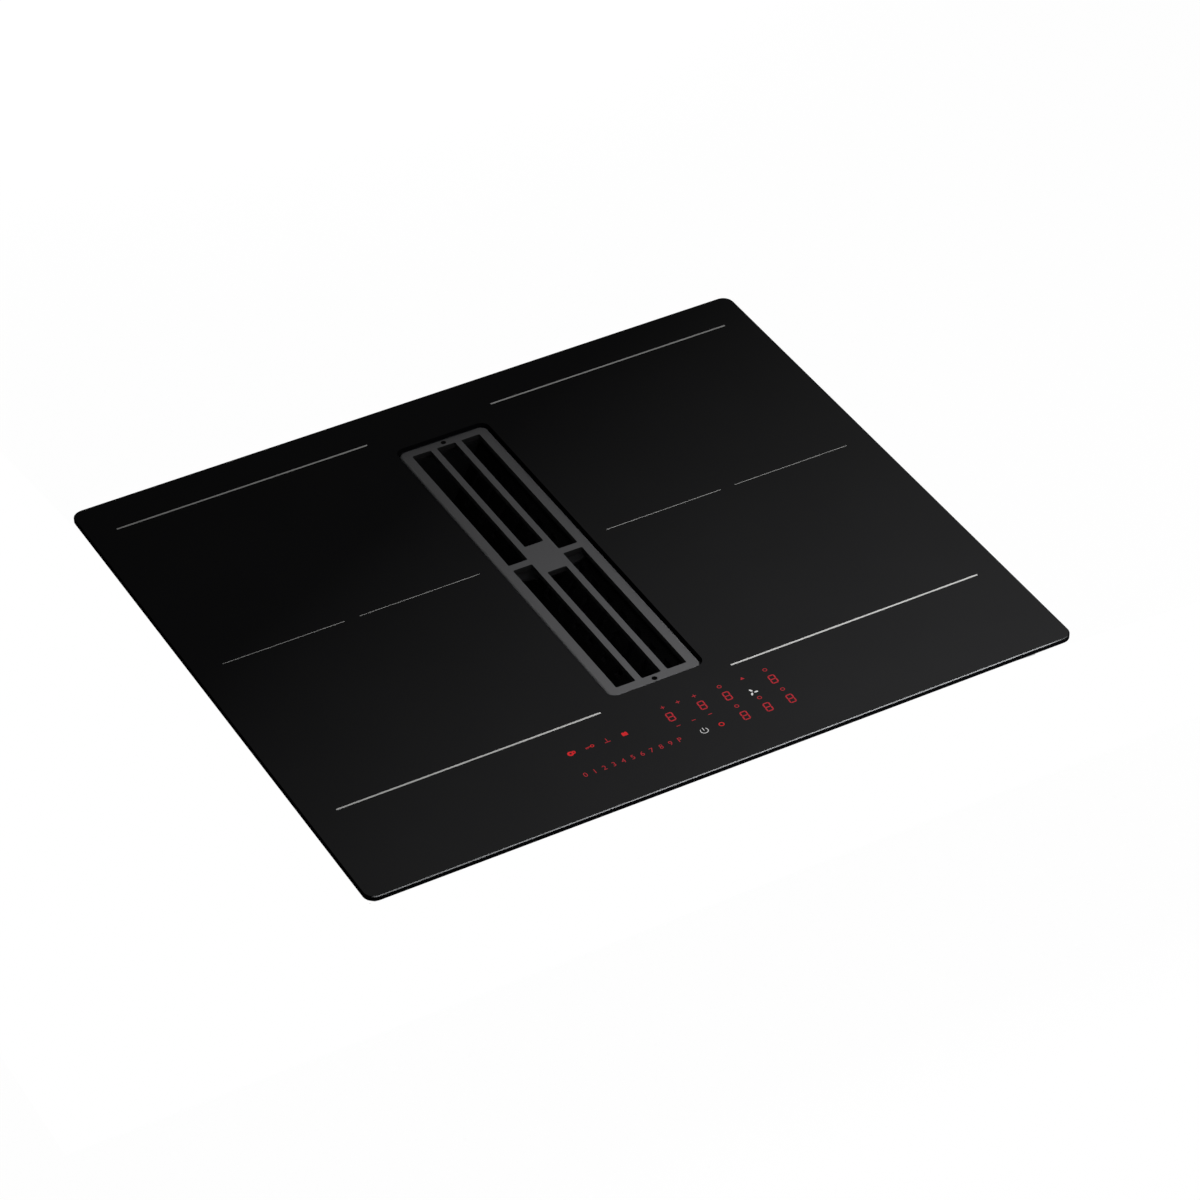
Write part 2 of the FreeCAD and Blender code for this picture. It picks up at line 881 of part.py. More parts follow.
def terminal_block():
    # Mains terminal strip on the casing floor, with a clamp slot for each pole
    x0 = -terminal_left
    y1 = casing_depth / 2 - terminal_rear
    top = casing_floor + terminal_height
    body = block(x0, x0 + terminal_width, y1 - terminal_depth, y1, casing_floor, top)
    pitch = terminal_width / terminal_poles
    cuts = []
    for pole in range(terminal_poles):
        x = x0 + pitch * (pole + 0.5)
        cuts.append(block(x - terminal_slot / 2, x + terminal_slot / 2, y1 - terminal_depth / 2, y1 + overrun,
                          casing_floor + terminal_height / 3, casing_floor + terminal_height * 2 / 3))
        cuts.append(rod(x, y1 - terminal_depth / 2, casing_floor + terminal_height / 2,
                        top + overrun, terminal_slot / 2))
    return body.cut(Part.makeCompound(cuts))


def terminal_cover():
    # Lid that stands over the terminal strip, open to the rear
    x0 = -terminal_left - cover_clearance - cover_wall
    x1 = -terminal_left + terminal_width + cover_clearance + cover_wall
    y1 = casing_depth / 2 - terminal_rear
    y0 = y1 - terminal_depth - cover_clearance - cover_wall
    top = casing_floor + terminal_height + cover_clearance + cover_wall
    lid = block(x0, x1, y0, y1, casing_floor, top)
    inside = block(x0 + cover_wall, x1 - cover_wall, y0 + cover_wall, y1 + overrun, casing_floor - overrun,
                   top - cover_wall)
    return lid.cut(inside)


def cable_gland():
    # Rubber grommet with a square neck through the rear wall and a bore for the mains lead
    wall = casing_depth / 2
    start = vec(-gland_x, wall - gland_length, -gland_drop)
    neck = gland_block(gland_neck, wall - gland_length, wall)
    flange = rod_along(vec(-gland_x, wall, -gland_drop),
                       vec(-gland_x, wall + gland_flange_thickness, -gland_drop), gland_flange)
    inner_flange = rod_along(vec(-gland_x, wall - sheet - gland_flange_thickness, -gland_drop),
                             vec(-gland_x, wall - sheet, -gland_drop), gland_flange)
    gland = fused([neck, flange, inner_flange])
    bore = rod_along(start - vec(0, overrun, 0), vec(-gland_x, wall + overrun, -gland_drop), gland_bore)
    return gland.cut(bore)


def well_wire(spread):
    half = well_half_width + spread
    corner = opening_corner + collar_setback + spread
    return rounded_wire(-half, half, well_front - spread, well_rear + spread, [corner] * 4)


def air_well():
    # Straight shaft from the collar through the casing to the inlet plate
    return ring(well_wire(well_wall), well_wire(0), duct_floor, collar_bottom)


def scroll_wire():
    # Spiral of three arcs with stepped centres, the tongue and the flaring outlet
    x = impeller_x + scroll_step / 2
    y = impeller_y + scroll_step / 2
    small = scroll_radius - 2 * scroll_step
    small_x = x - scroll_step
    small_y = y - scroll_step
    right = arc(x, y, scroll_radius, 0, -90)
    front = arc(x, small_y, scroll_radius - scroll_step, -90, -180)
    left = arc(small_x, small_y, small, 180, tongue_angle)
    middle = polar(small_x, small_y, small + tongue_radius, tongue_angle)
    inner = polar(small_x, small_y, small, tongue_angle)
    outer = polar(small_x, small_y, small + 2 * tongue_radius, tongue_angle)
    tip = polar(middle.x, middle.y, tongue_radius, tongue_angle - 90)
    tongue = Part.Arc(inner, tip, outer).toShape()
    duct_right = x + scroll_radius
    duct_left = duct_right - duct_width
    flare = line(outer, vec(duct_left, duct_end, 0))
    mouth = line(vec(duct_left, duct_end, 0), vec(duct_right, duct_end, 0))
    side = line(vec(duct_right, duct_end, 0), vec(duct_right, y, 0))
    return Part.Wire([right, front, left, tongue, flare, mouth, side])


def duct_sides():
    # Left and right inner walls of the flat duct outlet
    right = impeller_x + scroll_step / 2 + scroll_radius
    return right - duct_width, right


def grown(wire, spread):
    # Face of an outline moved outwards
    return Part.Face(wire).makeOffset2D(spread)


def mouth_trim(bottom, top):
    # Block behind the mouth of the duct, which squares off the grown outline
    duct_left, duct_right = duct_sides()
    reach = 2 * overrun
    return block(duct_left - reach, duct_right + reach, duct_end, duct_end + reach, bottom, top)


def scroll_ribs():
    # Upright ribs round the right of the spiral and along the straight side of the duct
    base = scroll_radius + housing_wall / 2
    x = impeller_x + scroll_step / 2
    y = impeller_y + scroll_step / 2
    ribs = []
    for index in range(rib_count):
        rib = block(x + base, x + base + rib_reach, y - rib_thickness / 2, y + rib_thickness / 2, duct_floor,
                    casing_bottom)
        rib.rotate(vec(x, y, 0), vec(0, 0, 1), rib_first_angle - index * rib_first_angle / (rib_count - 1))
        ribs.append(rib)
    for share in rib_shares:
        rib_y = y + (duct_end - y) * share
        rib_end = rib_y + rib_thickness
        ribs.append(block(x + base, x + base + rib_reach, rib_y, rib_end, duct_floor, casing_bottom))
    return ribs


def scroll_housing():
    # Roof and spiral wall, open below and at the outlet, with stiffening ribs outside
    shell = grown(scroll_wire(), housing_wall).extrude(vec(0, 0, casing_bottom - duct_floor))
    shell.translate(vec(0, 0, duct_floor))
    shell = shell.cut(prism(scroll_wire(), duct_floor - overrun, duct_top))
    duct_left, duct_right = duct_sides()
    mouth = block(duct_left, duct_right, duct_end - overrun, duct_end + overrun, duct_floor, duct_top)
    shell = shell.cut(mouth).cut(mouth_trim(duct_floor - overrun, casing_bottom + overrun))
    return fused([shell] + scroll_ribs())


def outlet_flange_holes(y0, y1):
    # Four screw holes of the outlet flange, as cutting rods along Y
    duct_left, duct_right = duct_sides()
    reach = spigot_flange - outlet_hole_edge
    rods = []
    for x in (duct_left - reach, duct_right + reach):
        for z in (duct_floor - reach, duct_top - outlet_hole_edge):
            rods.append(rod_along(vec(x, y0, z), vec(x, y1, z), outlet_hole_radius))
    return Part.makeCompound(rods)


def outlet_plate(y0, y1, inset):
    # Flat frame round the mouth of the duct, with its screw holes
    duct_left, duct_right = duct_sides()
    plate = block(duct_left - spigot_flange, duct_right + spigot_flange, y0, y1, duct_floor - spigot_flange,
                  casing_bottom)
    plate = plate.cut(duct_box(inset, y0 - overrun, y1 + overrun))
    return plate.cut(outlet_flange_holes(y0 - overrun, y1 + overrun))


def outlet_levels():
    # Rear faces of the housing flange, of the seal and of the spigot flange
    frame_end = duct_end + spigot_flange_thickness
    seal_end = frame_end + seal_thickness
    return frame_end, seal_end, seal_end + spigot_flange_thickness


def outlet_frame():
    # Flange on the mouth of the housing that the spigot is screwed to
    return outlet_plate(duct_end, outlet_levels()[0], 0)


def outlet_seal():
    frame_end, seal_end, _ = outlet_levels()
    return outlet_plate(frame_end, seal_end, 0)


def duct_box(inset, y0, y1):
    # Box of the flat duct, moved in from its nominal size on all sides
    duct_left, duct_right = duct_sides()
    return block(duct_left + inset, duct_right - inset, y0, y1, duct_floor + inset, duct_top - inset)


def flap_levels():
    # Inner floor and roof of the spigot, and the lower and upper edge of the bar across it
    inner = spigot_clearance + spigot_wall
    low = duct_floor + inner
    high = duct_top - inner
    middle = (low + high) / 2
    return low, high, middle - flap_bar / 2, middle + flap_bar / 2


def flap_pivots():
    # Pivot height of each flap, and the height of its free edge when it hangs closed
    low, high, bar_low, bar_high = flap_levels()
    offset = flap_top_gap + flap_barrel_radius
    return {"upper": (high - offset, bar_high - flap_lap), "lower": (bar_low - offset, low + flap_foot_gap)}


def flap_y():
    return outlet_levels()[2] + flap_setback


def outlet_spigot():
    # Rectangular sleeve with a flange, a bar across the middle, flap stops and pivot holes
    _, y0, y1 = outlet_levels()
    duct_left, duct_right = duct_sides()
    inner = spigot_clearance + spigot_wall
    flange = outlet_plate(y0, y1, inner)
    sleeve = duct_box(spigot_clearance, y0, y1 + spigot_length)
    sleeve = sleeve.cut(duct_box(inner, y0 - overrun, y1 + spigot_length + overrun))
    low, _, bar_low, bar_high = flap_levels()
    x0 = duct_left + inner - spigot_wall / 2
    x1 = duct_right - inner + spigot_wall / 2
    stop_end = flap_y() - flap_barrel_radius - flap_stop_gap
    bar = block(x0, x1, y0, stop_end, bar_low, bar_high)
    stop = block(x0, x1, y0, stop_end, low - spigot_wall / 2, low + flap_stop)
    body = fused([flange, sleeve, bar, stop])
    cuts = []
    for pivot, _ in flap_pivots().values():
        start = vec(duct_left - overrun, flap_y(), pivot)
        end = vec(duct_right + overrun, flap_y(), pivot)
        cuts.append(rod_along(start, end, flap_pin_radius + flap_pin_clearance))
    return body.cut(Part.makeCompound(cuts))


def outlet_flap(position):
    # Blade that hangs from a pin along its top edge
    duct_left, duct_right = duct_sides()
    pivot, foot = flap_pivots()[position]
    y = flap_y()
    inner = spigot_clearance + spigot_wall
    x0 = duct_left + inner + flap_side_gap
    x1 = duct_right - inner - flap_side_gap
    pin = rod_along(vec(duct_left + spigot_clearance, y, pivot), vec(duct_right - spigot_clearance, y, pivot),
                    flap_pin_radius)
    barrel = rod_along(vec(x0, y, pivot), vec(x1, y, pivot), flap_barrel_radius)
    face = y - flap_barrel_radius
    leaf = block(x0, x1, face, face + flap_thickness, foot, pivot)
    return fused([pin, barrel, leaf])


def blade(index):
    # Forward-curved blade: an arc of sheet between the inner and the outer radius
    low, top = impeller_levels()
    turn = math.radians(blade_start_angle)
    heel = vec(blade_inner, 0, 0)
    centre = heel + vec(math.cos(turn) * blade_arc_radius, math.sin(turn) * blade_arc_radius, 0)
    start = math.degrees(turn) + 180
    outer = blade_arc_radius + blade_thickness / 2
    inner = blade_arc_radius - blade_thickness / 2
    end = start + blade_sweep
    edges = [arc(centre.x, centre.y, outer, start, end),
             line(polar(centre.x, centre.y, outer, end), polar(centre.x, centre.y, inner, end)),
             arc(centre.x, centre.y, inner, end, start),
             line(polar(centre.x, centre.y, inner, start), polar(centre.x, centre.y, outer, start))]
    solid = prism(Part.Wire(edges), low, top - backplate_thickness)
    solid.rotate(vec(0, 0, 0), vec(0, 0, 1), index * 360 / blade_count)
    solid.translate(vec(impeller_x, impeller_y, 0))
    return solid


def impeller_levels():
    top = duct_top - impeller_drop
    return top - impeller_height, top


def impeller():
    # Backplate, ring of blades and the shroud that ties their lower ends
    low, top = impeller_levels()
    backplate = tube(impeller_x, impeller_y, top - backplate_thickness, top, blade_outer, cup_outer)
    shroud_inner = blade_outer - shroud_width
    shroud = tube(impeller_x, impeller_y, low - shroud_thickness, low, blade_outer, shroud_inner)
    keep = rod(impeller_x, impeller_y, low, top, blade_outer)
    blades = [blade(index).common(keep) for index in range(blade_count)]
    return fused([backplate, shroud] + blades)


def motor_levels():
    # Top of the motor flange, its underside and the top of the rotor cup
    flange_top = duct_top - damper_height
    flange_low = flange_top - motor_flange_thickness
    return flange_top, flange_low, flange_low - motor_gap


def rotor_cup():
    # Drawn steel cup round the stator; its flange sits on the backplate of the impeller
    cup_top = impeller_levels()[1] + cup_flange_thickness
    low = cup_top - cup_height
    x, y = impeller_x, impeller_y
    inner = cup_outer - cup_wall
    boss_top = low + shaft_boss_height
    profile = [(shaft_radius, low), (cup_outer, low), (cup_outer, cup_top - cup_flange_thickness),
               (cup_outer + cup_flange, cup_top - cup_flange_thickness), (cup_outer + cup_flange, cup_top),
               (inner, cup_top), (inner, low + cup_wall), (shaft_boss, low + cup_wall),
               (shaft_boss, boss_top), (shaft_radius, boss_top)]
    return turned(x, y, profile)


def motor_shaft():
    cup_top = impeller_levels()[1] + cup_flange_thickness
    flange_low = motor_levels()[1]
    return rod(impeller_x, impeller_y, cup_top - cup_height, flange_low - motor_gap, shaft_radius)


def motor_stator():
    # Mounting flange, hollow spindle and slotted lamination pack
    flange_top, flange_low, cup_top = motor_levels()
    x, y = impeller_x, impeller_y
    spindle_low = cup_top - motor_gap - stator_height - bearing_height
    flange = rod(x, y, flange_low, flange_top, motor_flange_radius)
    spindle = rod(x, y, spindle_low, flange_low, spindle_radius)
    pack_top = cup_top - motor_gap - shaft_boss_height / 2
    gap = (cup_outer - cup_wall) - stator_radius
    pack = rod(x, y, pack_top - stator_height, pack_top, stator_radius - gap / 2)
    cuts = []
    for index in range(stator_slots):
        slot = block(x + stator_radius - stator_slot_depth, x + stator_radius + overrun,
                     y - stator_slot_width / 2, y + stator_slot_width / 2,
                     pack_top - stator_height - overrun, pack_top + overrun)
        slot.rotate(vec(x, y, 0), vec(0, 0, 1), index * 360 / stator_slots)
        cuts.append(slot)
    pack = pack.cut(Part.makeCompound(cuts))
    body = fused([flange, spindle, pack])
    return body.cut(rod(x, y, spindle_low - overrun, flange_low, bearing_radius))


def motor_bearings():
    # Two ball bearings in the spindle, shown as rings
    flange_low, cup_top = motor_levels()[1:]
    spindle_low = cup_top - motor_gap - stator_height - bearing_height
    inner = shaft_radius + shaft_clearance
    x, y = impeller_x, impeller_y
    upper_top = flange_low - motor_gap - motor_gap
    return [tube(x, y, spindle_low, spindle_low + bearing_height, bearing_radius, inner),
            tube(x, y, upper_top - bearing_height, upper_top, bearing_radius, inner)]


def motor_dampers():
    dampers = []
    for index in range(damper_count):
        spot = polar(impeller_x, impeller_y, damper_circle_radius, 30 + index * 360 / damper_count)
        dampers.append(rod(spot.x, spot.y, motor_levels()[0], duct_top, damper_radius))
    return dampers


def plenum_wire(spread):
    radii = [plenum_corner + spread, plenum_sweep + spread, plenum_sweep + spread, plenum_corner + spread]
    return rounded_wire(-plenum_left - spread, plenum_right + spread, -plenum_front - spread,
                        plenum_rear + spread, radii)


def inlet_plate():
    # Common floor of the scroll and lid of the plenum, with the well mouth and the round inlet
    plenum_part = prism(plenum_wire(plenum_flange), inlet_plate_bottom, duct_floor)
    scroll_part = grown(scroll_wire(), housing_wall).extrude(vec(0, 0, housing_wall))
    scroll_part.translate(vec(0, 0, inlet_plate_bottom))
    low = inlet_plate_bottom - overrun
    high = duct_floor + overrun
    plate = fused([plenum_part, scroll_part.cut(mouth_trim(low, high))])
    plate = plate.cut(prism(well_wire(0), low, high))
    return plate.cut(rod(impeller_x, impeller_y, low, high, bell_throat + bell_radius))


def inlet_ring():
    # Bell mouth whose throat reaches into the shroud of the impeller
    outer_curve = bell_radius + bell_wall
    knee_z = duct_floor + bell_wall
    centre_r = bell_throat + outer_curve
    inner_mid = polar(centre_r, knee_z - bell_wall + outer_curve, outer_curve, 225)
    outer_mid = polar(centre_r, knee_z - bell_wall + outer_curve, bell_radius, 225)
    level = knee_z - bell_wall + outer_curve
    rim = bell_throat + bell_radius + bell_rim
    points = {
        "inner_top": vec(bell_throat, 0, level), "inner_low": vec(centre_r, 0, duct_floor),
        "rim_low": vec(rim, 0, duct_floor), "rim_top": vec(rim, 0, knee_z),
        "outer_low": vec(centre_r, 0, knee_z), "outer_top": vec(bell_throat + bell_wall, 0, level),
    }
    edges = [
        Part.Arc(points["inner_top"], vec(inner_mid.x, 0, inner_mid.y), points["inner_low"]).toShape(),
        line(points["inner_low"], points["rim_low"]), line(points["rim_low"], points["rim_top"]),
        line(points["rim_top"], points["outer_low"]),
        Part.Arc(points["outer_low"], vec(outer_mid.x, 0, outer_mid.y), points["outer_top"]).toShape(),
        line(points["outer_top"], points["inner_top"]),
    ]
    ring_solid = Part.Face(Part.Wire(edges)).revolve(vec(0, 0, 0), vec(0, 0, 1), 360)
    ring_solid.translate(vec(impeller_x, impeller_y, 0))
    return ring_solid


def tray_levels():
    low = plenum_bottom + housing_wall
    return low, low + tray_height


def plenum_tray():
    # Deep tray below the inlet plate, flanged at the top, with the mouth for the overflow tray
    outer = prism(plenum_wire(0), plenum_bottom, inlet_plate_bottom)
    outer = outer.makeFillet(plenum_floor_round, low_edges(outer, plenum_bottom + housing_wall))
    floor = plenum_bottom + housing_wall
    inner = prism(plenum_wire(-housing_wall), floor, inlet_plate_bottom + overrun)
    inner = inner.makeFillet(plenum_floor_round - housing_wall, low_edges(inner, floor + housing_wall))
    flange_low = inlet_plate_bottom - plenum_flange_thickness
    flange = ring(plenum_wire(plenum_flange), plenum_wire(-housing_wall), flange_low, inlet_plate_bottom)
    body = fused([outer.cut(inner), flange])
    low, top = tray_levels()
    half = tray_width / 2 + tray_clearance
    front = -plenum_front
    mouth = block(-half, half, front - overrun, front + plenum_corner, low, top + tray_clearance)
    return body.cut(mouth)


def drip_tray():
    # Drawer for spilled liquid, with a front plate and a finger grip
    low, top = tray_levels()
    half = tray_width / 2
    y0 = -plenum_front
    y1 = y0 + tray_length
    body = slab(-half, half, y0 - tray_front_thickness, y1, low, top, tray_corner)
    hollow = slab(-half + tray_wall, half - tray_wall, y0 + tray_wall, y1 - tray_wall, low + tray_wall,
                  top + overrun, tray_corner - tray_wall)
    front_half = half + tray_front_margin
    plate = block(-front_half, front_half, y0 - tray_front_thickness, y0, low, top + tray_front_margin)
    reach = tray_grip_width / 2
    front = y0 - tray_front_thickness
    tip = front - tray_grip_depth
    grip = block(-reach, reach, tip, front, top - tray_grip_thickness, top)
    lip = block(-reach, reach, tip, tip + tray_grip_thickness, top - 2 * tray_grip_thickness, top)
    return fused([body.cut(hollow), plate, grip, lip])


def housing_screws():
    # Pan-head screws up through the plenum flange
    level = inlet_plate_bottom - plenum_flange_thickness
    x0 = -plenum_left - plenum_flange + screw_inset
    rear = plenum_rear + plenum_flange - screw_inset
    front = -plenum_front - plenum_flange + screw_inset
    left_shares = (0.15, 0.5, 0.85)
    across_shares = (0.3, 0.55)
    spots = [(x0, front + (rear - front) * share) for share in left_shares]
    for y in (front, rear):
        spots += [(x0 + (plenum_right - x0) * share, y) for share in across_shares]
    right = plenum_right + plenum_flange - screw_inset
    spots.append((right, (front + rear) / 2))
    return [rod(x, y, level - screw_head, level, screw_radius) for x, y in spots]


def build():
    os.makedirs("parts", exist_ok=True)
    save("glass_panel", glass_panel())
    save("edge_gasket", edge_gasket())
    save("well_collar", well_collar())
    save("air_grille", air_grille())
    save("grille_feet", grille_feet())
    save("filter_frame", filter_frame())
    save("filter_panels", filter_panels())
    save("filter_handle", filter_handle())
    save("hob_casing", hob_casing())
    save("retaining_springs", retaining_springs())
    bars = []
    sensors = []
    for side, hand in ((-1, "left"), (1, "right")):
        for row, (x, y) in coil_centres(side).items():
            save("coil_" + row + "_" + hand, coil_winding(x, y))
            save("coil_former_" + row + "_" + hand, coil_former(x, y))
            bars += ferrites(x, y)
            sensors.append(temperature_sensor(x, y))
        save("coil_plate_" + hand, coil_plate(side))
        save("insulation_" + hand, insulation(side))
        save("power_board_" + hand, power_board(side))
        save("heat_sink_" + hand, heat_sink(side))
        save("cooling_fan_frame_" + hand, fan_frame(side))
        save("cooling_rotor_" + hand, fan_rotor(side))
    save("ferrite_bars", bars)
    save("temperature_sensors", sensors)
    save("board_posts", board_posts())
    save("capacitors", capacitors())
    save("filter_chokes", filter_chokes())
    save("control_carrier", control_carrier())
    save("control_board", control_board())
    save("digit_displays", digit_displays())
    save("touch_springs", touch_springs())
    save("terminal_block", terminal_block())
    save("terminal_cover", terminal_cover())
    save("cable_gland", cable_gland())
    save("air_well", air_well())
    save("scroll_housing", scroll_housing())
    save("outlet_frame", outlet_frame())
    save("outlet_seal", outlet_seal())
    save("outlet_spigot", outlet_spigot())
    save("outlet_flap_upper", outlet_flap("upper"))
    save("outlet_flap_lower", outlet_flap("lower"))
    save("impeller", impeller())
    save("rotor_cup", rotor_cup())
    save("motor_shaft", motor_shaft())
    save("motor_stator", motor_stator())
    save("motor_bearings", motor_bearings())
    save("motor_dampers", motor_dampers())
    save("inlet_plate", inlet_plate())
    save("inlet_ring", inlet_ring())
    save("plenum_tray", plenum_tray())
    save("drip_tray", drip_tray())
    save("housing_screws", housing_screws())


build()
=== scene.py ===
"""Looks of a built-in downdraft cooktop: finishes, prints, small fasteners, light and camera.

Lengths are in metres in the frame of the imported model, apart from drawings on the glass, which are in
millimetres. The origin is the centre of the glass on the plane of the worktop, +X points to the right,
+Y to the rear and +Z up.
"""
import json
import logging
import math
from collections.abc import Iterable, Sequence
from dataclasses import dataclass, field
from enum import Enum
from functools import cached_property

import bmesh
import bpy
from bmesh.types import BMesh
from bpy.types import Material, Mesh, NodeSocket, NodeTree, Object
from mathutils import Matrix, Vector

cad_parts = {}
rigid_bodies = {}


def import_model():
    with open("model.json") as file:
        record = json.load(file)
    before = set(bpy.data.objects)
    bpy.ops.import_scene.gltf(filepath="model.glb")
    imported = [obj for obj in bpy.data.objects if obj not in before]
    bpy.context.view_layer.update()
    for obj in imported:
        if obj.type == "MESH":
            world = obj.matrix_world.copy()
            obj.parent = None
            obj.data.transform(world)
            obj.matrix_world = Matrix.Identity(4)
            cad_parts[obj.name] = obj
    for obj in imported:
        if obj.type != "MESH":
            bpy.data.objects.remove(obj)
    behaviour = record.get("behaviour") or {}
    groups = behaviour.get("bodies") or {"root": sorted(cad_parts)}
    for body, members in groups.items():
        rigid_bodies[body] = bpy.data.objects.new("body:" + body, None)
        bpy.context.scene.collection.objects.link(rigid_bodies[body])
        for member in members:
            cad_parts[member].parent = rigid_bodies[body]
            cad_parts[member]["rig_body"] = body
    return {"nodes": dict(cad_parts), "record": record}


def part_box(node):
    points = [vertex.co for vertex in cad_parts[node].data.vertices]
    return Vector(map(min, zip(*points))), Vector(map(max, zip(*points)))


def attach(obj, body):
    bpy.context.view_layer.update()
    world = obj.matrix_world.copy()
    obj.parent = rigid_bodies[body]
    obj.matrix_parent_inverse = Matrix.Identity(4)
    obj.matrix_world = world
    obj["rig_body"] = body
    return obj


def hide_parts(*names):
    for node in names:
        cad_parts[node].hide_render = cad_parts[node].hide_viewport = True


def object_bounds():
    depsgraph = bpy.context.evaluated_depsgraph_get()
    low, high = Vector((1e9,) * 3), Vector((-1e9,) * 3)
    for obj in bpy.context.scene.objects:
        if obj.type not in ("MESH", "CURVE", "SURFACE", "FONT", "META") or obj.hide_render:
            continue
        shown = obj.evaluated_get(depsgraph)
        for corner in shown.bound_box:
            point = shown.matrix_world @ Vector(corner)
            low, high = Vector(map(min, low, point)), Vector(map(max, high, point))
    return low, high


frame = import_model()
CAD_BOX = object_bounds()

MM = 0.001
FULL_TURN = 2.0 * math.pi
WHITE = (1.0, 1.0, 1.0)
DOWN = Vector((0.0, 0.0, -1.0))
COLOURS = {row["slot"]: tuple(row["base_color"][:3]) for row in frame["record"]["materials"]}
GLASS_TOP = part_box("glass_panel")[1].z

Colour = tuple[float, float, float]
Place = tuple[float, float, float]
Point = tuple[float, float]
Pair = tuple[float, float]
Numbers = tuple[float, ...]
log = logging.getLogger("cooktop")


class Body(Enum):
    """Body of the frame that the added pieces ride on."""

    ROOT = "root"


class Axis(Enum):
    """Axis of the frame, by its place in a vector."""

    X = 0
    Y = 1
    Z = 2


class Socket:
    """One output of a shader node, with arithmetic that adds Math nodes."""

    def __init__(self, graph: "Graph", out: NodeSocket) -> None:
        """Keep an output and the graph that it belongs to."""
        self.graph = graph
        self.out = out

    def _math(self, operation: str, *values: "Socket | float") -> "Socket":
        """Output of a new Math node."""
        return self.graph.node("ShaderNodeMath", {"operation": operation}, dict(enumerate(values)))

    def __add__(self, other: "Socket | float") -> "Socket":
        """Sum of this and another value."""
        return self._math("ADD", self, other)

    __radd__ = __add__

    def __sub__(self, other: "Socket | float") -> "Socket":
        """This value less another."""
        return self._math("SUBTRACT", self, other)

    def __rsub__(self, other: float) -> "Socket":
        """A number less this value."""
        return self._math("SUBTRACT", other, self)

    def __mul__(self, other: "Socket | float") -> "Socket":
        """Product of this and another value."""
        return self._math("MULTIPLY", self, other)

    __rmul__ = __mul__

    def sine(self) -> "Socket":
        """Sine of this value in radians."""
        return self._math("SINE", self)

    def size(self) -> "Socket":
        """This value without its sign."""
        return self._math("ABSOLUTE", self)

    def above(self, edge: float) -> "Socket":
        """One where this value is above an edge, and zero elsewhere."""
        return self._math("GREATER_THAN", self, edge)

    def larger(self, other: "Socket | float") -> "Socket":
        """The larger of this and another value."""
        return self._math("MAXIMUM", self, other)

    def ramp(self, start: float, end: float) -> "Socket":
        """Rise smoothly from 0 to 1 while this value goes from start to end, up or down."""
        inputs = {"Value": self, "From Min": start, "From Max": end}
        return self.graph.node("ShaderNodeMapRange", {"interpolation_type": "SMOOTHSTEP"}, inputs)


def blend(tones: Numbers, *patterns: Socket) -> Socket:
    """The first tone plus every pattern times its own."""
    return sum((pattern * share for share, pattern in zip(tones[1:], patterns, strict=True)), tones[0])


def swing(base: float, swings: Numbers, *patterns: Socket) -> Socket:
    """A value that every pattern moves up or down by half of its swing."""
    return sum(((pattern - 0.5) * share for share, pattern in zip(swings, patterns, strict=True)), base)


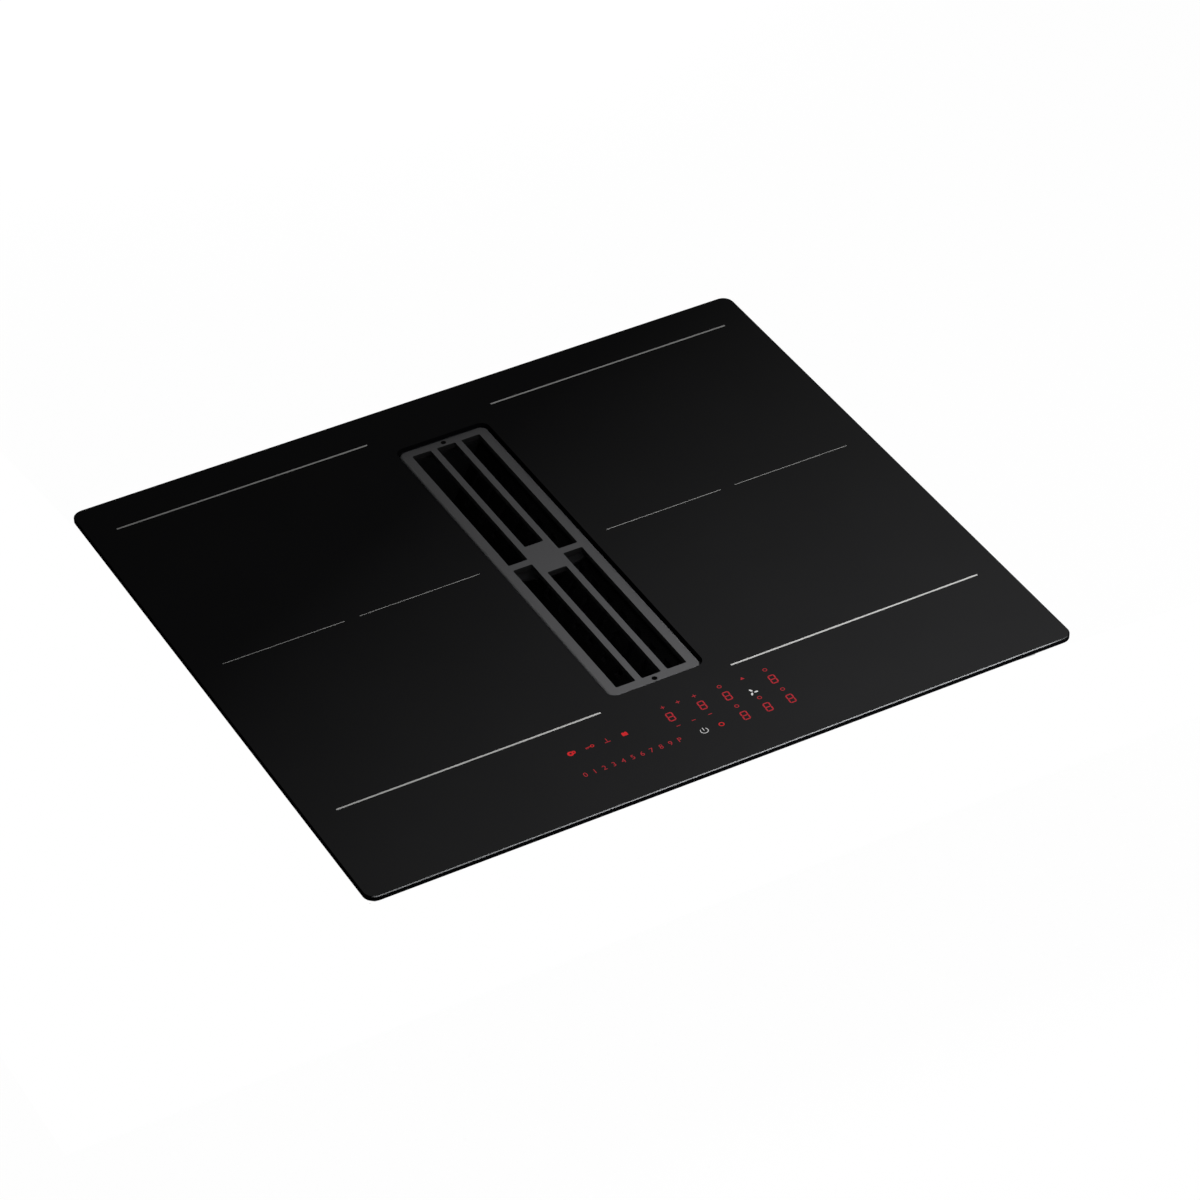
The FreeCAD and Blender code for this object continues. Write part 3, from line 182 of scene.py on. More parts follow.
class Graph:
    """A node tree that is filled through expressions."""

    def __init__(self, tree: NodeTree) -> None:
        """Keep the tree that nodes are added to."""
        self.tree = tree

    def node(self, kind: str, settings: dict | None = None, inputs: dict | None = None,
             output: str | int = 0) -> Socket:
        """Add one node.

        Args:
            kind: Blender's name of the node type.
            settings: Attributes that are set before the sockets.
            inputs: Values or links by the name or number of the socket.
            output: Name or number of the output that is wanted.

        Returns:
            That output.
        """
        made = self.tree.nodes.new(kind)
        for name, value in (settings or {}).items():
            setattr(made, name, value)
        for key, value in (inputs or {}).items():
            self.feed(made.inputs[key], value)
        return Socket(self, made.outputs[output])

    def feed(self, target: NodeSocket, value: object) -> None:
        """Link a socket to an input, or set the input's own value.

        Args:
            target: Input of a node.
            value: A Socket, a number, or a colour or vector as a tuple.
        """
        if isinstance(value, Socket):
            self.tree.links.new(value.out, target)
        elif target.type == "RGBA":
            target.default_value = (*value, 1.0)
        else:
            target.default_value = value

    def place(self) -> Socket:
        """Position on the object at rest, in metres."""
        return self.node("ShaderNodeTexCoord", output="Object")

    def along(self, vector: Socket, axis: Axis) -> Socket:
        """One coordinate of a vector."""
        return self.node("ShaderNodeSeparateXYZ", inputs={0: vector}, output=axis.value)

    def at(self, axis: Axis) -> Socket:
        """One coordinate of the position."""
        return self.along(self.place(), axis)

    def facing(self, axis: Axis) -> Socket:
        """How far the surface faces along an axis, from -1 to 1."""
        return self.along(self.node("ShaderNodeTexCoord", output="Normal"), axis)

    def seen_by(self, ray: str) -> Socket:
        """One for rays of a kind, such as Camera, and zero for the others."""
        return self.node("ShaderNodeLightPath", output=f"Is {ray} Ray")

    def vector(self, operation: str, *values: object, output: str | int = 0) -> Socket:
        """Output of a new Vector Math node."""
        return self.node("ShaderNodeVectorMath", {"operation": operation}, dict(enumerate(values)), output)

    def stretched(self, scale: Place, vector: Socket | None = None) -> Socket:
        """The position or another vector, with each coordinate scaled by its own factor."""
        return self.vector("MULTIPLY", vector or self.place(), scale)

    def radius(self, centre: Point) -> Socket:
        """Distance from an upright line through a point."""
        run = self.vector("SUBTRACT", self.place(), (*centre, 0.0))
        return self.vector("LENGTH", self.stretched((1.0, 1.0, 0.0), run), output="Value")

    def noise(self, size: float, detail: float = 2.0, vector: Socket | None = None) -> Socket:
        """Smooth noise around 0.5, by the width of its largest clouds and the number of finer layers."""
        inputs = {"Vector": vector or self.place(), "Scale": 1.0 / size, "Detail": detail}
        return self.node("ShaderNodeTexNoise", None, inputs)

    def cells(self, size: float, output: str = "Color", metric: str = "EUCLIDEAN") -> Socket:
        """Irregular cells with a random colour each, or the distance from their centres."""
        inputs = {"Vector": self.place(), "Scale": 1.0 / size}
        return self.node("ShaderNodeTexVoronoi", {"distance": metric}, inputs, output)

    def waves(self, value: Socket, pitch: float) -> Socket:
        """Regular waves between 0 and 1 along a coordinate."""
        return (value * (FULL_TURN / pitch)).sine() * 0.5 + 0.5

    def shade(self, colour: Colour, factor: Socket) -> Socket:
        """A colour times a varying factor."""
        return self.node("ShaderNodeVectorMath", {"operation": "SCALE"}, {0: colour, "Scale": factor})

    def mix(self, factor: Socket, first: "Socket | Colour", second: "Socket | Colour") -> Socket:
        """Blend of two colours, the first where the factor is 0 and the second where it is 1."""
        return self.node("ShaderNodeMix", {"data_type": "RGBA"}, {0: factor, 6: first, 7: second}, 2)

    def either(self, factor: Socket, first: Socket, second: Socket) -> Socket:
        """Mix of two shaders, the first where the factor is 0 and the second where it is 1."""
        return self.node("ShaderNodeMixShader", None, {0: factor, 1: first, 2: second})

    def glow(self, strength: "Socket | float") -> Socket:
        """White shader that shines by itself."""
        return self.node("ShaderNodeEmission", None, {"Color": WHITE, "Strength": strength})


class Surface(Graph):
    """The node tree of one new material with its Principled shader."""

    def __init__(self, name: str) -> None:
        """Make the material.

        Args:
            name: Its name.
        """
        self.material = bpy.data.materials.new(name)
        self.material.use_nodes = True
        super().__init__(self.material.node_tree)
        self.shader = self.tree.nodes["Principled BSDF"]

    def show(self, shader: Socket) -> None:
        """Use a shader as the look of the surface."""
        self.feed(self.tree.nodes["Material Output"].inputs["Surface"], shader)

    def show_only(self, shader: Socket) -> Material:
        """Use a shader in place of the Principled one.

        Args:
            shader: The shader.

        Returns:
            The finished material.
        """
        self.tree.nodes.remove(self.shader)
        self.show(shader)
        return self.material

    def coat(self, colour: Socket, roughness: Socket, relief: Socket | None = None, depth: float = 0.0,
             **inputs: object) -> None:
        """Set the shader's sockets.

        Args:
            colour: Base colour.
            roughness: Roughness.
            relief: Height between 0 and 1, if the surface has any.
            depth: Full depth of the relief.
            inputs: Other values or links by socket name, with _ for a space.
        """
        if relief:
            bump = {"Height": relief, "Distance": depth, "Strength": 1.0}
            inputs["Normal"] = self.node("ShaderNodeBump", None, bump)
        for name, value in {"Base Color": colour, "Roughness": roughness, **inputs}.items():
            self.feed(self.shader.inputs[name.replace("_", " ")], value)


@dataclass(frozen=True)
class Finish:
    """What every finish has: the slot of the record that it stands for."""

    slot: str

    @property
    def colour(self) -> Colour:
        """Colour that the record gives the slot."""
        return COLOURS[self.slot]

    @cached_property
    def skin(self) -> Surface:
        """Node tree of the material."""
        return Surface(self.slot)

    @cached_property
    def material(self) -> Material:
        """The material, which is built when it is first asked for."""
        self.look()
        return self.skin.material

    def look(self) -> None:
        """Fill the shader of the material."""
        raise NotImplementedError


@dataclass(frozen=True)
class Moulding(Finish):
    """Moulded plastic with a fine spark-eroded grain and faint flow marks."""

    roughness: float = 0.5
    grain: float = 0.45 * MM
    depth: float = 0.02 * MM
    flow: float = 45.0 * MM
    squeeze: Place = (1.0, 1.0, 2.5)
    tones: Numbers = (0.82, 0.24, 0.12)
    swings: Numbers = (0.16, 0.2)

    def look(self) -> None:
        """Grain in the colour, the gloss and the relief, over faint flow marks."""
        skin = self.skin
        grain = skin.noise(self.grain, 3.0)
        flow = skin.noise(self.flow, 3.0, skin.stretched(self.squeeze))
        skin.coat(skin.shade(self.colour, blend(self.tones, flow, grain)),
                  swing(self.roughness, self.swings, flow, grain), grain, self.depth)


@dataclass(frozen=True)
class PowderCoat(Finish):
    """Baked powder coat: orange peel, a sandy texture, tiny paler specks, and painted shade that darkens the
    upright walls.
    """

    lightness: float = 1.0
    shaded_wall_share: float = 1.0
    roughness: float = 0.55
    grain: float = 0.5 * MM
    peel: float = 2.2 * MM
    depth: float = 0.035 * MM
    tones: Numbers = (0.84, 0.3, 0.45)
    swings: Numbers = (0.25, 0.1)

    def look(self) -> None:
        """Grain and specks on the flats, painted shade on the upright walls."""
        skin = self.skin
        grain = skin.noise(self.grain)
        peel = skin.noise(self.peel, 1.0)
        specks = skin.cells(self.grain, "Distance").ramp(0.22, 0.05) * grain.ramp(0.5, 0.62)
        # Painted shade: upright faces, such as the walls of the grille's slots, keep only the shaded wall
        # share of the colour; film is this painted shade times the lightness.
        upright = 1.0 - skin.facing(Axis.Z).size().ramp(0.25, 0.7)
        film = (1.0 - upright * (1.0 - self.shaded_wall_share)) * self.lightness
        skin.coat(skin.shade(self.colour, blend(self.tones, grain, specks) * film),
                  swing(self.roughness, self.swings, grain, peel), grain * 0.6 + peel * 0.4, self.depth)


@dataclass(frozen=True)
class BlackGlass(Finish):
    """Black glass-ceramic: a polished face, a rough pale band along the upper part of its front bevel that is
    painted highlight, and matt sides.
    """

    polish: float = 0.045
    highlight_band_colour: Colour = (0.25, 0.257, 0.264)
    highlight_band_roughness: float = 0.5
    highlight_band_rise: float = 0.55 * MM
    highlight_band_reach: float = 30.0 * MM
    highlight_band_turn: Pair = (-0.48, -0.68)
    fade_length: float = 24.0 * MM
    fade_share: float = 0.75
    side_colour: Colour = (0.003, 0.003, 0.0035)
    haze: float = 90.0 * MM
    grit: float = 0.3 * MM
    bevel_low: float = 0.35
    bevel_high: float = 0.95

    def highlight_band(self, bevel: Socket) -> Socket:
        """Where the painted highlight band is.

        Args:
            bevel: One on the bevel and zero elsewhere.

        Returns:
            One on the upper part of the front bevel, fading at its right end, and zero elsewhere.
        """
        skin = self.skin
        fore = skin.facing(Axis.Y).ramp(*self.highlight_band_turn)
        near = 1.0 - skin.at(Axis.Y).above(CAD_BOX[0][1] + self.highlight_band_reach)
        end = skin.at(Axis.X).ramp(CAD_BOX[1][0] - self.fade_length, CAD_BOX[1][0])
        upper = skin.at(Axis.Z).above(GLASS_TOP - self.highlight_band_rise)
        return bevel * fore * near * upper * (1.0 - end * self.fade_share)

    def look(self) -> None:
        """Part the face, the front bevel and the sides by the way that they face."""
        skin = self.skin
        facing = skin.facing(Axis.Z)
        bevel = facing.above(self.bevel_low) * (1.0 - facing.above(self.bevel_high))
        highlight_band = self.highlight_band(bevel)
        side = (1.0 - facing.size().above(self.bevel_low)).larger(bevel - highlight_band)
        haze = skin.noise(self.haze, 3.0)
        grit = skin.noise(self.grit)
        face = skin.shade(self.colour, 0.8 + haze * 0.4)
        # Painted highlight: this pale band on the upper front bevel stands in for a lamp's glint along the
        # edge, and fades towards the right end.
        highlight_tone = skin.shade(self.highlight_band_colour, 0.95 + grit * 0.1)
        skin.coat(skin.mix(highlight_band, face, highlight_tone),
                  swing(self.polish, (0.02,), haze) + highlight_band * (self.highlight_band_roughness - self.polish), IOR=1.5)
        matt = skin.node("ShaderNodeBsdfPrincipled", None, {
            "Base Color": skin.shade(self.side_colour, 0.8 + grit * 0.4), "Roughness": 0.7,
            "Specular IOR Level": 0.0})
        skin.show(skin.either(side, Socket(skin, skin.shader.outputs[0]), matt))


@dataclass(frozen=True)
class Galvanised(Finish):
    """Hot-dipped zinc on sheet steel: soft crystals of two sizes and dull handling marks."""

    spangle: float = 11.0 * MM
    roughness: float = 0.36
    depth: float = 0.012 * MM
    marks: float = 70.0 * MM
    tones: Numbers = (0.74, 0.2, 0.1, 0.08)
    dulling: float = 0.12
    roughening: float = 0.16

    def look(self) -> None:
        """Two sizes of crystals under dull marks."""
        skin = self.skin
        warp = skin.noise(self.spangle * 0.5)
        crystal = skin.along(skin.cells(self.spangle), Axis.X)
        fine = skin.along(skin.cells(self.spangle * 0.35), Axis.Y)
        dull = skin.noise(self.marks, 4.0)
        tone = blend(self.tones, crystal, fine, warp) - dull.ramp(0.52, 0.72) * self.dulling
        rough = swing(self.roughness, (self.roughening,), crystal) + dull.ramp(0.48, 0.7) * self.roughening
        skin.coat(skin.shade(self.colour, tone), rough, crystal * 0.5 + fine * 0.5, self.depth, Metallic=1.0)


@dataclass(frozen=True)
class Brushed(Finish):
    """Metal with a drawn or brushed grain along one axis."""

    axis: Axis = Axis.X
    roughness: float = 0.3
    grain: float = 0.25 * MM
    stretch: float = 0.02
    depth: float = 0.004 * MM
    stain: float = 30.0 * MM
    tones: Numbers = (0.8, 0.25, 0.12)
    swings: Numbers = (0.3, 0.12)

    def look(self) -> None:
        """Fine lines along the grain, and stains."""
        skin = self.skin
        scale = tuple(self.stretch if axis is self.axis else 1.0 for axis in Axis)
        lines = skin.noise(self.grain, 3.0, skin.stretched(scale))
        stain = skin.noise(self.stain, 3.0)
        skin.coat(skin.shade(self.colour, blend(self.tones, lines, stain)),
                  swing(self.roughness, self.swings, lines, stain), lines, self.depth, Metallic=1.0)


@dataclass(frozen=True)
class MetalMesh(Finish):
    """Layers of expanded mesh, near black as painted shade for the dark well under the grille, with deeper
    painted shade in the holes between the strands.
    """

    gloss: float = 0.15
    pitch: float = 3.0 * MM
    depth: float = 0.5 * MM
    lean: float = 1.7
    soil: float = 12.0 * MM

    def look(self) -> None:
        """Two crossing sets of strands, with painted shade in the holes between them."""
        skin = self.skin
        run, rise = skin.at(Axis.Y), skin.at(Axis.Z) * self.lean
        wire = skin.waves(run + rise, self.pitch).larger(skin.waves(run - rise, self.pitch)).ramp(0.72, 0.9)
        soil = skin.noise(self.soil, 3.0)
        bright = skin.shade(self.colour, 0.4 + soil * 0.4)
        # Painted shade: the holes between the strands are darker still than the strands.
        dark = skin.shade(self.colour, 0.1 + soil * 0.08)
        skin.coat(skin.mix(wire, dark, bright), 0.42 + soil * 0.2, wire, self.depth,
                  Specular_IOR_Level=self.gloss)


@dataclass(frozen=True)
class Rubber(Finish):
    """Soft rubber, foam or silicone with open pores."""

    pore: float = 0.7 * MM
    depth: float = 0.06 * MM
    roughness: float = 0.82
    dust: float = 25.0 * MM
    tones: Numbers = (0.7, 0.35, 0.3)

    def look(self) -> None:
        """Open pores under a little dust."""
        skin = self.skin
        pore = skin.cells(self.pore, "Distance")
        dust = skin.noise(self.dust, 3.0)
        skin.coat(skin.shade(self.colour, blend(self.tones, pore, dust)),
                  swing(self.roughness, (0.2,), dust), pore, self.depth)


@dataclass(frozen=True)
class ScreenPrint(Finish):
    """Ceramic ink on glass, a shade uneven and broken up by tiny pinholes."""

    ink: Colour = (0.52, 0.52, 0.51)
    cloud: float = 6.0 * MM
    pinhole: float = 0.5 * MM
    depth: float = 0.003 * MM

    def look(self) -> None:
        """Uneven ink with pinholes."""
        skin = self.skin
        film = skin.noise(self.cloud, 3.0)
        pinholes = skin.cells(self.pinhole, "Distance").ramp(0.12, 0.04)
        tone = 0.9 + film * 0.18 - pinholes * 0.4
        skin.coat(skin.shade(self.ink, tone), 0.4 + film * 0.2, film, self.depth)


@dataclass(frozen=True)
class Lit(Finish):
    """Symbol that shines through the glass."""

    light: Colour = (0.5, 0.016, 0.02)
    cloud: float = 3.0 * MM

    def look(self) -> None:
        """Even glow with a faint cloud in it."""
        skin = self.skin
        cloud = skin.noise(self.cloud)
        skin.coat(skin.shade(self.light, 0.06 + cloud * 0.04), 0.3 + cloud * 0.1,
                  Emission_Color=skin.shade(self.light, 0.75 + cloud * 0.5), Emission_Strength=1.0)


@dataclass(frozen=True)
class Winding(Finish):
    """Varnished copper turns laid round a centre."""

    centre: Point = (0.0, 0.0)
    pitch: float = 1.6 * MM
    depth: float = 0.5 * MM
    lay: float = 1.2 * MM
    varnish: float = 18.0 * MM
    tones: Numbers = (0.55, 0.4, 0.2, 0.15)

    def look(self) -> None:
        """Rings of wire round the centre, under varnish."""
        skin = self.skin
        turns = skin.waves(skin.radius(self.centre), self.pitch)
        lay = skin.noise(self.lay, 3.0)
        varnish = skin.noise(self.varnish)
        skin.coat(skin.shade(self.colour, blend(self.tones, turns, lay, varnish)),
                  0.3 + (1.0 - turns) * 0.25 + lay * 0.12, turns * 0.85 + lay * 0.15, self.depth,
                  Metallic=0.85)


@dataclass(frozen=True)
class Mineral(Finish):
    """Pressed or fired material: ferrite, ceramic or mica, with grains and flakes."""

    grain: float = 0.8 * MM
    roughness: float = 0.7
    contrast: float = 0.35
    depth: float = 0.03 * MM
    flake_size: float = 4.0

    def look(self) -> None:
        """Grains over larger flakes."""
        skin = self.skin
        grain = skin.noise(self.grain, 4.0)
        flake = skin.along(skin.cells(self.grain * self.flake_size), Axis.X)
        skin.coat(skin.shade(self.colour, swing(1.0, (self.contrast, self.contrast / 2), grain, flake)),
                  swing(self.roughness, (0.2,), grain), grain, self.depth)


@dataclass(frozen=True)
class CircuitBoard(Finish):
    """Green solder mask over copper tracks, with bare tinned pads."""

    track: float = 5.0 * MM
    copper: Colour = (0.08, 0.32, 0.13)
    tin: Colour = (0.62, 0.62, 0.58)
    weave: float = 0.4 * MM
    depth: float = 0.035 * MM
    track_step: float = 0.16

    def look(self) -> None:
        """Tracks and pads under the mask, over the weave of the board."""
        skin = self.skin
        tracks = skin.waves(skin.cells(self.track, "Distance", "MANHATTAN"), self.track_step).ramp(0.4, 0.6)
        pads = skin.cells(self.track * 0.8, "Distance").ramp(0.16, 0.13)
        weave = skin.noise(self.weave)
        mask = skin.mix(tracks, self.colour, self.copper)
        skin.coat(skin.mix(pads, mask, self.tin), 0.28 + weave * 0.15, tracks + pads, self.depth,
                  Metallic=pads * 0.8)


@dataclass(frozen=True)
class Laminated(Finish):
    """Stack of thin steel sheets."""

    sheet: float = 0.5 * MM
    oil: float = 8.0 * MM
    depth: float = 0.08 * MM

    def look(self) -> None:
        """Sheet edges with a film of oil."""
        skin = self.skin
        stack = skin.waves(skin.at(Axis.Z), self.sheet)
        oil = skin.noise(self.oil, 3.0)
        skin.coat(skin.shade(self.colour, 0.6 + stack * 0.4 + oil * 0.4), 0.35 + oil * 0.25,
                  stack, self.depth, Metallic=0.9)


@dataclass(frozen=True)
class Sleeved(Finish):
    """Capacitor cans: dark shrink sleeve with a paler stripe, and a bare top."""

    top: float = 0.0
    bare_rise: float = 0.4 * MM
    stripe: Colour = (0.42, 0.44, 0.5)
    can: Colour = (0.7, 0.7, 0.72)
    film: float = 5.0 * MM
    depth: float = 0.01 * MM

    def look(self) -> None:
        """Sleeve up to the bare top, with its stripe."""
        skin = self.skin
        bare = skin.at(Axis.Z).above(self.top - self.bare_rise)
        film = skin.noise(self.film)
        sleeve = skin.shade(self.colour, 0.85 + film * 0.3)
        body = skin.mix(skin.facing(Axis.X).above(0.9), sleeve, self.stripe)
        skin.coat(skin.mix(bare, body, self.can), 0.3 + film * 0.15, film, self.depth, Metallic=bare * 0.9)


@dataclass(frozen=True)
class DisplayWindow(Finish):
    """Smoked red window of a segment display with a faint cell pattern behind it."""

    cell: float = 2.0 * MM
    smoke: float = 9.0 * MM
    depth: float = 0.01 * MM

    def look(self) -> None:
        """Cells behind smoked plastic."""
        skin = self.skin
        cell = skin.waves(skin.at(Axis.X), self.cell) * skin.waves(skin.at(Axis.Y), self.cell)
        smoke = skin.noise(self.smoke)
        skin.coat(skin.shade(self.colour, 0.6 + cell * 0.5 + smoke * 0.2), 0.12 + smoke * 0.1,
                  smoke, self.depth)


def polar(centre: Point, reach: float, turn: float) -> Point:
    """Point at a distance and an angle in degrees from a centre."""
    angle = math.radians(turn)
    return centre[0] + reach * math.cos(angle), centre[1] + reach * math.sin(angle)


def middle(low: Vector, high: Vector) -> Point:
    """Middle of a box, seen from above."""
    return (low.x + high.x) / 2, (low.y + high.y) / 2


def corners(x: float, y: float) -> list[Point]:
    """Corners of a centred rectangle, anticlockwise, by half of its sizes."""
    return [(-x, -y), (x, -y), (x, y), (-x, y)]


def pairs(loop: list) -> list[tuple]:
    """Each item of a loop with the one after it."""
    return list(zip(loop, loop[1:] + loop[:1]))


def plain_mesh(name: str, spots: Sequence, faces: Sequence) -> Mesh:
    """Make a mesh.

    Args:
        name: Its name.
        spots: Its points.
        faces: Its faces, by the numbers of their points.

    Returns:
        The mesh.
    """
    made = bpy.data.meshes.new(name)
    made.from_pydata(spots, [], faces)
    return made


def merged(name: str, meshes: Iterable[Mesh]) -> Mesh:
    """Join meshes into one.

    Args:
        name: Name of the new mesh.
        meshes: Meshes that are used up.

    Returns:
        The joined mesh.
    """
    shape = bmesh.new()
    for mesh in meshes:
        shape.from_mesh(mesh)
        bpy.data.meshes.remove(mesh)
    made = bpy.data.meshes.new(name)
    shape.to_mesh(made)
    shape.free()
    return made


def islands(node: str) -> list[tuple[Vector, Vector]]:
    """Boxes of the separate solids of a node.

    Args:
        node: Name of a CAD node.

    Returns:
        Lowest and highest corner of each, ordered by place.
    """
    shape = bmesh.new()
    shape.from_mesh(frame["nodes"][node].data)
    bmesh.ops.remove_doubles(shape, verts=shape.verts, dist=0.01 * MM)
    left = set(shape.verts)
    boxes = []
    while left:
        group = [left.pop()]
        for vert in group:
            near = {edge.other_vert(vert) for edge in vert.link_edges} & left
            left -= near
            group += near
        values = list(zip(*(vert.co for vert in group)))
        boxes.append((Vector(map(min, values)), Vector(map(max, values))))
    shape.free()
    return sorted(boxes, key=lambda box: tuple(round(value, 6) for value in (*box[0], *box[1])))


@dataclass
class Pen:
    """Collects flat outlines and raises them together as one thin plate."""

    unit: float = MM
    arc_step: float = 12.0
    least_steps: int = 8
    disc_sides: int = 20
    origin: Point = (0.0, 0.0)
    points: list[Point] = field(default_factory=list)
    faces: list[list[int]] = field(default_factory=list)

    def at(self, x: float, y: float) -> None:
        """Draw relative to a point from here on."""
        self.origin = (x, y)

    def plot(self, points: Iterable[Point]) -> list[int]:
        """Add points.

        Args:
            points: Points from the origin of the drawing.

        Returns:
            Their numbers.
        """
        first = len(self.points)
        self.points += [(x + self.origin[0], y + self.origin[1]) for x, y in points]
        return list(range(first, len(self.points)))

    def shape(self, points: Iterable[Point]) -> None:
        """Add one convex outline, given anticlockwise."""
        self.faces.append(self.plot(points))

    def bar(self, start: Point, end: Point, width: float) -> None:
        """Add a straight bar.

        Args:
            start: Middle of one end.
            end: Middle of the other end.
            width: Width across the bar.
        """
        run = Vector(end) - Vector(start)
        side = Vector((-run.y, run.x)).normalized() * width / 2
        self.shape((Vector(start) - side, Vector(end) - side, Vector(end) + side, Vector(start) + side))

    def arc(self, centre: Point, radius: float, width: float, start: float = 0.0, end: float = 360.0) -> None:
        """Add an open or closed ring.

        Args:
            centre: Centre of the ring.
            radius: Radius of its middle line.
            width: Width of the line.
            start: First angle in degrees.
            end: Last angle in degrees.
        """
        steps = max(self.least_steps, int((end - start) / self.arc_step))
        count = steps if end - start >= 360.0 else steps + 1
        ring = self.plot(polar(centre, reach, start + (end - start) * index / steps) for index in range(count)
                         for reach in (radius - width / 2, radius + width / 2))
        for index in range(0, 2 * steps, 2):
            self.faces.append([ring[(index + step) % len(ring)] for step in (0, 1, 3, 2)])

    def disc(self, centre: Point, across: float, along: float, turn: float = 0.0) -> None:
        """Add an ellipse.

        Args:
            centre: Centre of the ellipse.
            across: Half of its size before it is turned, along X.
            along: Half of its size before it is turned, along Y.
            turn: Turn in degrees.
        """
        tilt = Matrix.Rotation(math.radians(turn), 2)
        angles = [FULL_TURN * index / self.disc_sides for index in range(self.disc_sides)]
        self.shape(Vector(centre) + tilt @ Vector((across * math.cos(angle), along * math.sin(angle)))
                   for angle in angles)

    def mesh(self, name: str, low: float, high: float) -> Mesh:
        """Raise all that was drawn between two levels.

        Args:
            name: Name of the mesh.
            low: Level of the underside.
            high: Level of the top.

        Returns:
            The closed mesh.
        """
        count = len(self.points)
        spots = [(x * self.unit, y * self.unit, level) for level in (low, high) for x, y in self.points]
        faces = [[i + count for i in face] for face in self.faces] + [face[::-1] for face in self.faces]
        edges = {edge for face in self.faces for edge in pairs(face)}
        faces += [[a, b, b + count, a + count] for a, b in edges if (b, a) not in edges]
        return plain_mesh(name, spots, sorted(faces))


@dataclass(frozen=True)
class PanHead:
    """Domed screw head with a cross recess, drawn in shares of its radius and its height."""

    radius: float
    height: float
    sides: int = 24
    profile: tuple[Point, ...] = ((1.0, 0.0), (1.0, 0.35), (0.93, 0.62), (0.78, 0.84), (0.62, 0.96))
    arm: float = 0.5
    half_width: float = 0.11
    taper: float = 0.7
    floor: float = 0.35

    @staticmethod
    def band(shape: BMesh, lower: list, upper: list) -> None:
        """Add the faces between two loops."""
        for (a, b), (d, c) in zip(pairs(lower), pairs(upper)):
            shape.faces.new((a, b, c, d))

    def mesh(self, place: Vector, facing: Vector) -> Mesh:
        """Build one head.

        Args:
            place: Middle of its seat.
            facing: Direction that it points in.

        Returns:
            The closed mesh.
        """
        shape = bmesh.new()
        turns = [FULL_TURN * index / self.sides for index in range(self.sides)]
        loops = [[shape.verts.new((self.radius * reach * math.cos(a), self.radius * reach * math.sin(a),
                                   self.height * rise)) for a in turns] for reach, rise in self.profile]
        shape.faces.new(loops[0][::-1])
        for lower, upper in zip(loops, loops[1:]):
            self.band(shape, lower, upper)
        arm, half = self.arm * self.radius, self.half_width * self.radius
        cross = [(arm, -half), (arm, half), (half, half)]
        for _ in range(3):
            cross += [(-y, x) for x, y in cross[-3:]]
        top = self.height * self.profile[-1][1]
        mouth = [shape.verts.new((x, y, top)) for x, y in cross]
        floor = [shape.verts.new((x * self.taper, y * self.taper, top * self.floor)) for x, y in cross]
        rim = [shape.edges.new(pair) for pair in pairs(mouth)]
        crown = [shape.edges.get(pair) for pair in pairs(loops[-1])]
        bmesh.ops.triangle_fill(shape, use_beauty=True, edges=crown + rim)
        self.band(shape, mouth, floor)
        shape.faces.new(floor)
        bmesh.ops.recalc_face_normals(shape, faces=shape.faces)
        turned = (-DOWN).rotation_difference(facing).to_matrix().to_4x4()
        bmesh.ops.transform(shape, matrix=Matrix.Translation(place) @ turned, verts=shape.verts)
        made = bpy.data.meshes.new("pan_head")
        shape.to_mesh(made)
        shape.free()
        return made


@dataclass(frozen=True)
class Lettering:
    """Raised characters in a plain sans face, in metres."""

    height: float
    low: float
    high: float
    extrude: float = 0.5
    thinning: float = -0.006

    def mesh(self, text: str, centre: Point) -> Mesh:
        """Build one character.

        Args:
            text: The character.
            centre: Its middle.

        Returns:
            The mesh, scaled to the height.
        """
        curve = bpy.data.curves.new("glyph", "FONT")
        curve.body = text
        curve.extrude = self.extrude
        curve.offset = self.thinning
        carrier = bpy.data.objects.new("glyph", curve)
        mesh = bpy.data.meshes.new_from_object(carrier)
        bpy.data.objects.remove(carrier)
        bpy.data.curves.remove(curve)
        spots = [vert.co for vert in mesh.vertices]
        left, right = min(s.x for s in spots), max(s.x for s in spots)
        foot, head = min(s.y for s in spots), max(s.y for s in spots)
        scale = self.height / (head - foot)
        for spot in spots:
            spot[:] = ((spot.x - (left + right) / 2) * scale + centre[0],
                       (spot.y - (foot + head) / 2) * scale + centre[1],
                       self.low + (spot.z + self.extrude) * (self.high - self.low))
        mesh.materials.clear()
        return mesh


@dataclass
class Assembly:
    """A sub-assembly: CAD nodes that get a finish, and pieces that are added to them."""

    finishes: dict[str, Finish] = field(default_factory=dict)
    pieces: list[Object] = field(default_factory=list)

    def dress(self) -> None:
        """Give each CAD node of the sub-assembly its finish."""
        for node, finish in self.finishes.items():
            material = finish.material
            carried = frame["nodes"][node]
            for held in carried.material_slots:
                held.material = material
            self.pieces.append(carried)

    def add(self, mesh: Mesh, finish: Finish, body: Body = Body.ROOT) -> Object:
        """Make a piece from a mesh.

        Args:
            mesh: Its mesh, whose name it takes.
            finish: Its finish.
            body: Body that it rides on.

        Returns:
            The new piece.
        """
        mesh.materials.append(finish.material)
        piece = bpy.data.objects.new(mesh.name, mesh)
        bpy.context.scene.collection.objects.link(piece)
        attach(piece, body.value)
        self.pieces.append(piece)
        return piece

    def detail(self) -> None:
        """Build the pieces that the CAD model leaves out."""

    def build(self) -> None:
        """Dress the nodes and build the pieces."""
        self.dress()
        self.detail()


